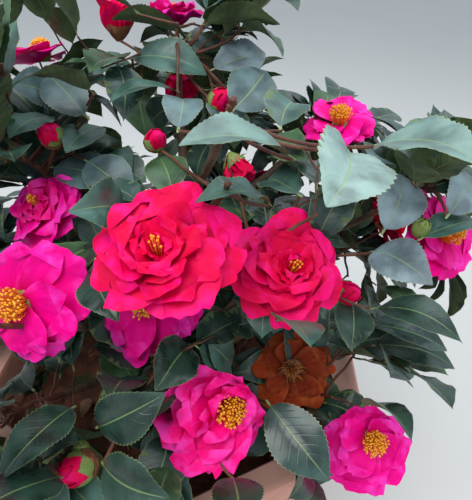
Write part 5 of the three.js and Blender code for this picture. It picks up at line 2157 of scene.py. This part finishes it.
@dataclass
class EarthBed:
    """The earth in the pot, with crumbs, fallen leaves and a little moss on it."""

    palette: Palette
    pot: SixSidedPot
    crumbs: int = 420
    fallen: int = 16
    rings_in: int = 46
    crumb_seed: int = 71
    fallen_seed: int = 72
    crumb_sides: int = 7

    def inner_apothem(self, height: float) -> float:
        """Apothem of the pot's inner wall at a height, from floor to rim."""
        share = (height - FLOOR) / (POT_HEIGHT - FLOOR)
        return BASE_APOTHEM - WALL + (OPENING_APOTHEM - BASE_APOTHEM + WALL) * share

    @staticmethod
    def lumps(x: Array, y: Array) -> Array:
        """Unevenness of the earth: sines of several lengths crossed over each other."""
        height = 2.2 * np.sin(x / 17 + 0.8) * np.sin(y / 21 + 0.3)
        height = height + 1.3 * np.sin(x / 7.3 + y / 11) * np.sin(y / 6.1 - x / 15)
        return height + 0.7 * np.sin(x / 2.9 + 1.1) * np.sin(y / 3.3 + x / 9)

    def surface(self, x: Array, y: Array) -> Array:
        """Height of the earth over the rim: a low crown round the stem plus the lumps."""
        reach = np.sqrt(x**2 + y**2) / self.inner_apothem(POT_HEIGHT - SOIL_DEPTH)
        return -SOIL_DEPTH - SOIL_CROWN * np.clip((reach - 0.3) / 0.7, 0, 1) + self.lumps(x, y)

    def make(self) -> list[Piece]:
        """Makes the bed and what lies on it.

        Returns:
            The pieces.
        """
        edge = POT_HEIGHT - SOIL_DEPTH - SOIL_CROWN
        walls = np.array([FLOOR + GAP, 60, 120, 180, edge])
        wall_apothem = np.array([self.inner_apothem(z) - GAP - 0.4 for z in walls])
        shares = 1 - (np.arange(1, self.rings_in) / self.rings_in)
        apothem = np.concatenate([wall_apothem, wall_apothem[-1] * shares])
        plan = self.pot.plan(apothem)
        heights = np.empty(plan.shape[:2])
        heights[: len(walls)] = (walls - POT_HEIGHT)[:, None]
        heights[len(walls) :] = self.surface(plan[len(walls) :, :, 0], plan[len(walls) :, :, 1])
        skins = Skins()
        rings = np.concatenate([plan, heights[..., None]], axis=-1)
        top = float(self.surface(np.zeros(1), np.zeros(1))[0])
        skins.add_one(rings, (FLOOR + GAP - POT_HEIGHT) * UP, top * UP)
        bed = settle(skins.make("earth_bed", self.palette.pick("potting_earth"), 70), "soil", "soil")
        return [bed, self.make_crumbs(), self.make_fallen()]

    def scatter(self, count: int, numbers: Numbers, reach: float) -> Array:
        """Places on the earth, spread evenly in seeded directions.

        Args:
            count: how many.
            numbers: seeded numbers.
            reach: share of the inner radius.

        Returns:
            Places on the surface, as rows.
        """
        span = self.inner_apothem(POT_HEIGHT - SOIL_DEPTH) * reach
        distance = span * np.sqrt(numbers.array(count, 0.02, 1))
        turn = numbers.array(count, 0, 2 * math.pi)
        x, y = distance * np.cos(turn), distance * np.sin(turn)
        return np.stack([x, y, self.surface(x, y)], axis=-1)

    def make_crumbs(self) -> Piece:
        """Crumbs of earth: squashed balls of three rings, each pushed about by seeded numbers."""
        numbers = Numbers(self.crumb_seed)
        count = self.crumbs
        middle = self.scatter(count, numbers, 0.97)
        size = 1.1 + 3.4 * numbers.array(count) ** 3
        turn = np.linspace(0, 2 * np.pi, self.crumb_sides, endpoint=False)
        level = np.array([-0.6, 0.05, 0.65])
        wide = np.sqrt(1 - level**2)
        rough = 0.75 + 0.5 * numbers.array(count * 3 * self.crumb_sides).reshape(count, 3, -1)
        reach = size[:, None, None] * wide[None, :, None] * rough
        rings = polar(reach, turn, (size[:, None] * level)[..., None])
        rings = middle[:, None, None] + rings + 0.4 * UP
        pole = size[:, None] * UP
        skins = Skins()
        finish = (numbers.array(count)[:, None] > 0.45).astype(int)
        skins.add(rings, middle - pole, middle + pole, ring_map(3, self.crumb_sides), finish)
        finishes = self.palette.pick("earth_crumb", "potting_earth")
        return settle(skins.make("earth_crumbs", finishes, 30), "soil", "soil")

    def make_fallen(self) -> Piece:
        """Fallen leaves lying on the earth, curled as dry leaves are."""
        numbers = Numbers(self.fallen_seed)
        bases = self.scatter(self.fallen, numbers, 0.72)
        leaves = []
        for base in bases:
            turn = 2 * math.pi * numbers.draw()
            size = 26 + 24 * numbers.draw()
            tip = base + size * point((math.cos(turn), math.sin(turn), 0))
            tip[2] = float(self.surface(tip[:1], tip[1:2])[0]) + 3
            lean = point((numbers.draw() - 0.5, numbers.draw() - 0.5, 1.6))
            leaves.append(Leaf(base + UP * 3, tip, size * 0.45, lean))
        skins = Skins()
        shape = BladeShape(rows=14, columns=7, thickness=0.5, tooth=0.03)
        rings, first, last, maps = shape.rings(leaves, numbers)
        _, _, under = around_blade(shape.columns)
        skins.add(rings, first, last, maps, 0 * under[None])
        return settle(skins.make("fallen_leaves", self.palette.pick("leaf_fallen")), "soil", "soil")


@dataclass
class Wood:
    """Trunk and boughs, in bark with low ridges along them."""

    palette: Palette
    frame: WoodyFrame
    sides: int = 20
    ridge: float = 0.055
    trunk_rows: int = 90
    bough_rows: int = 44

    def relief(self, rows: int, seed: int) -> Array:
        """Relief of the bark: sines round the limb that drift along it, with a knot here and there.

        Args:
            rows: rings along the limb.
            seed: seed of the drift.

        Returns:
            Share by which each ring point stands out.
        """
        numbers = Numbers(seed)
        t = np.linspace(0, 1, rows)[:, None]
        turn = np.linspace(0, 2 * np.pi, self.sides, endpoint=False)[None]
        total = np.zeros((rows, self.sides))
        for lobes in (2, 3, 5, 7, 9):
            drift = numbers.draw() * 6
            total += np.sin(lobes * turn + drift + 5 * np.sin(3 * t + drift)) / lobes**0.5
        total += 1.4 * np.sin(44 * t + 6 * numbers.draw()) * np.sin(3 * turn + 9 * t)
        return self.ridge * total

    def make(self) -> list[Piece]:
        """Makes the trunk and each bough.

        Returns:
            The pieces.
        """
        pieces = [self.limb(self.frame.trunk, "bark_trunk", "trunk", self.trunk_rows, BARK_SEED)]
        for k, (name, bough) in enumerate(self.frame.boughs.items()):
            seed = BARK_SEED + 1 + k
            pieces.append(self.limb(bough, f"bark_{name}", f"bough_{name}", self.bough_rows, seed))
        return pieces

    def limb(self, limb: Limb, name: str, node: str, rows: int, seed: int) -> Piece:
        """One limb as a bar along its curve.

        Args:
            limb: its curve and radius.
            name: the piece's name.
            node: the CAD node that it stands for.
            rows: rings along it.
            seed: seed of its relief.

        Returns:
            The piece.
        """
        shares = np.linspace(0, 1, rows)
        line = np.array([limb.curve.at(t) for t in shares])
        radii = np.array([limb.radius(t) for t in shares])
        skins = Skins()
        first = line[0] - 0.1 * (line[1] - line[0])
        last = line[-1] + 0.4 * radii[-1] * unit(line[-1] - line[-2])
        skins.add_one(bar(line, radii, self.sides, self.relief(rows, seed)), first, last)
        return settle(skins.make(name, self.palette.pick("bark")), "bark", node)


# Painted light and shade: the high list holds more of the paler sheen tints, as if lit by the sky, and the
# low list more dark greens, as if in shade
SHADED_LOW_TINTS = [Tint.DEEP, Tint.DUSK, Tint.DEEP, Tint.GRASS, Tint.DEEP, Tint.TEAL]
SKYLIT_HIGH_TINTS = [Tint.DUSK, Tint.TEAL, Tint.DEEP, Tint.SLATE, Tint.GRASS, Tint.DEEP]


@dataclass
class Crown:
    """All that grows on the limbs: twigs, leaves, flowers and buds, mass by mass."""

    palette: Palette
    frame: WoodyFrame

    def make(self) -> list[Piece]:
        """Grows and builds every mass.

        Returns:
            The pieces.
        """
        grower = Grower(self.frame)
        sprays = [grower.grow(name) for name in self.frame.names]
        grower.sights = Sights(sprays)
        for spray in sprays:
            grower.refine(spray)
        log.info("%d leaves grew towards the light", grower.fill(sprays))
        pieces: list[Piece] = []
        for spray in sprays:
            Grower.prune(spray)
            log.info("%s: %d twigs, %d leaves", spray.name, len(spray.twigs), len(spray.leaves))
            pieces += [self.twigs(spray), self.leaves(spray)]
            if spray.blooms or spray.buds:
                pieces.append(self.blossom(spray))
        return pieces

    def twigs(self, spray: Spray) -> Piece:
        """The stem, shoots and finer twigs of a spray as bars with a swelling at each joint.

        Args:
            spray: the spray.

        Returns:
            The piece.
        """
        skins = Skins()
        groups = (
            ([spray.stem], STEM_RADIUS, 1.6, 22), (spray.shoots[1:], 1.4, 0.95, 16),
            (spray.twigs, 0.9, 0.65, 8),
        )
        for lines, start, end, rows in groups:
            for line in lines:
                t = np.linspace(-0.01, 1.0, rows)
                bow = 0.7 * np.sin(math.pi * np.clip(t, 0, 1)) * np.sin(9 * t + line.end[0])
                across = unit(np.cross(line.heading(0.5), UP) + 1e-6)
                path = line.at(t) + bow[:, None] * across
                knots = 1 + 0.22 * np.cos(2 * np.pi * t * max(2, round(line.length() / LEAF_SPACING))) ** 6
                radii = (start + (end - start) * np.clip(t, 0, 1)) * knots
                past = path[-1] + 0.5 * radii[-1] * line.heading(1.0)
                skins.add_one(bar(path, radii, 7), path[0], past)
        piece = skins.make(f"twigs_{spray.name}", self.palette.pick("young_twig"))
        return settle(piece, "bark", f"foliage_{spray.name}")

    def leaves(self, spray: Spray) -> Piece:
        """The leaves of a spray, each tint of its own, larger ones with more points. The tints are dealt by
        the mass's height, paler high up and darker low down, as painted light and shade.

        Args:
            spray: the spray.

        Returns:
            The piece.
        """
        numbers = Numbers(spray.index + LEAF_SEED)
        # Painted light and shade: masses above a height take the paler tints, lower ones the darker
        tints_by_light = SKYLIT_HIGH_TINTS if self.frame.sites[spray.index][2] > SKYLIT_MASS_HEIGHT else SHADED_LOW_TINTS
        order = [spray.index % 6, (spray.index * 3 + 1) % 6]
        tints = list(Tint)
        for k, leaf in enumerate(spray.leaves):
            if not leaf.leading:
                leaf.tint = tints_by_light[(order[(k // 6) % 2] + k // 3) % len(tints_by_light)]
        skins = Skins()
        near = [leaf for leaf in spray.leaves if leaf.leading]
        main = [leaf for leaf in spray.leaves if not leaf.leading and leaf.length >= LONG_LEAF]
        fine = [leaf for leaf in spray.leaves if not leaf.leading and leaf.length < LONG_LEAF]
        for shape, group in ((NEAR_BLADE, near), (MAIN_BLADE, main), (FINE_BLADE, fine)):
            if not group:
                continue
            rings, first, last, maps = shape.rings(group, numbers)
            _, _, under = around_blade(shape.columns)
            colours = np.array([tints.index(leaf.tint) for leaf in group])[:, None]
            skins.add(rings, first, last, maps, np.where(under[None] == 1, len(tints), colours))
        finishes = self.palette.pick(*(f"leaf_{tint.name.lower()}" for tint in tints), "leaf_underside")
        piece = skins.make(f"leaves_{spray.name}", finishes, 60)
        return settle(piece, "foliage", f"foliage_{spray.name}")

    def blossom(self, spray: Spray) -> Piece:
        """The flowers and buds of a spray.

        Args:
            spray: the spray.

        Returns:
            The piece.
        """
        skins = Skins()
        hues = list(PetalHue)
        others = ("filament", "pollen", "spent_anther", "green_scale", "russet_scale")
        filament, pollen, spent, green, russet = (len(hues) + k for k in range(len(others)))
        for bloom in spray.blooms:
            maker = FlowerMaker(skins, Numbers(bloom.seed))
            outer, inner = (hues.index(hue) for hue in MAKES[bloom.form].hues)
            for rank, whorl in enumerate(MAKES[bloom.form].whorls):
                maker.petals(bloom, whorl, rank, ((outer, inner)[whorl.finish], outer))
            maker.stamens(bloom, (filament, spent if bloom.form is BloomForm.WITHERED else pollen))
            cover = 0.75 if bloom.form is BloomForm.OPENING else 0.32
            scales = Whorl(5, cover, 0.55, (40, 60), 0.01, 0.0, 0.35, SCALE_START)
            scale = russet if bloom.seed % 2 else green
            maker.petals(bloom, scales, 0, (scale, scale))
        for bud in spray.buds:
            FlowerMaker(skins, Numbers(bud.seed)).bud(bud, hues.index(PetalHue.ROSE), green, russet)
        finishes = self.palette.pick(*(f"petal_{hue.name.lower()}" for hue in hues), *others)
        piece = skins.make(f"blossom_{spray.name}", finishes, 85)
        return settle(piece, "foliage", f"foliage_{spray.name}")


@dataclass
class Studio:
    """The plain pale floor and the soft light."""

    floor_size: float = 14.0
    floor_colour: Triple = (0.60, 0.59, 0.57)
    sky: Triple = (0.80, 0.90, 1.0)
    sky_strength: float = 0.75
    target: Triple = (0.0, 0.0, 0.4)
    lamps: tuple[tuple[str, Triple, float, float, Triple], ...] = (
        ("key", (-0.7, -0.9, 2.3), 1.4, 34, (1.0, 0.98, 0.95)),
        ("top", (0.5, 0.5, 2.4), 1.8, 26, (0.90, 0.96, 1.0)),
        ("fill", (1.8, -1.2, 1.1), 1.2, 9, (1.0, 0.98, 0.96)),
    )

    def make(self) -> None:
        """Makes the floor, the sky and the lamps."""
        half = self.floor_size / 2
        data = bpy.data.meshes.new("floor")
        corners = [(-half, -half, 0), (half, -half, 0), (half, half, 0), (-half, half, 0)]
        data.from_pydata(corners, [], [(0, 1, 2, 3)])
        other = tuple(0.985 * c for c in self.floor_colour)
        look = MottledFinish("floor_plain", self.floor_colour, other, 2, 0.85, 0, specular=0.1, speckled=0)
        data.materials.append(look.material())
        floor = bpy.data.objects.new("floor", data)
        bpy.context.scene.collection.objects.link(floor)
        world = bpy.data.worlds.new("soft_sky")
        world.use_nodes = True
        background = world.node_tree.nodes["Background"]
        background.inputs[0].default_value = (*self.sky, 1)
        background.inputs[1].default_value = self.sky_strength
        bpy.context.scene.world = world
        for name, place, size, power, colour in self.lamps:
            self.lamp(name, place, size, power, colour)
        bpy.context.scene.view_settings.view_transform = "Standard"

    def lamp(self, name: str, place: Triple, size: float, power: float, colour: Triple) -> None:
        """Makes a square lamp that faces the plant.

        Args:
            name: its name.
            place: where it hangs, in metres.
            size: its side.
            power: its power in watts.
            colour: its colour.
        """
        data = bpy.data.lights.new(name, "AREA")
        data.size, data.energy, data.color = size, power, colour
        lamp = bpy.data.objects.new(name, data)
        back = unit(point(place) - point(self.target))
        right = unit(np.cross(UP, back))
        lamp.matrix_world = standing(right, np.cross(back, right), back, point(place))
        bpy.context.scene.collection.objects.link(lamp)


def main() -> None:
    """Builds the plant and its setting."""
    VIEW.camera()
    Studio().make()
    palette = Palette()
    woody = WoodyFrame()
    pot = SixSidedPot(palette)
    pieces = [pot.make(), *EarthBed(palette, pot).make(), *Wood(palette, woody).make()]
    pieces += Crown(palette, woody).make()
    total = sum(sum(len(face.vertices) - 2 for face in piece.data.polygons) for piece in pieces)
    log.info("%d pieces, %d triangles", len(pieces), total)
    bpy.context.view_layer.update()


if __name__ == "__main__":
    main()
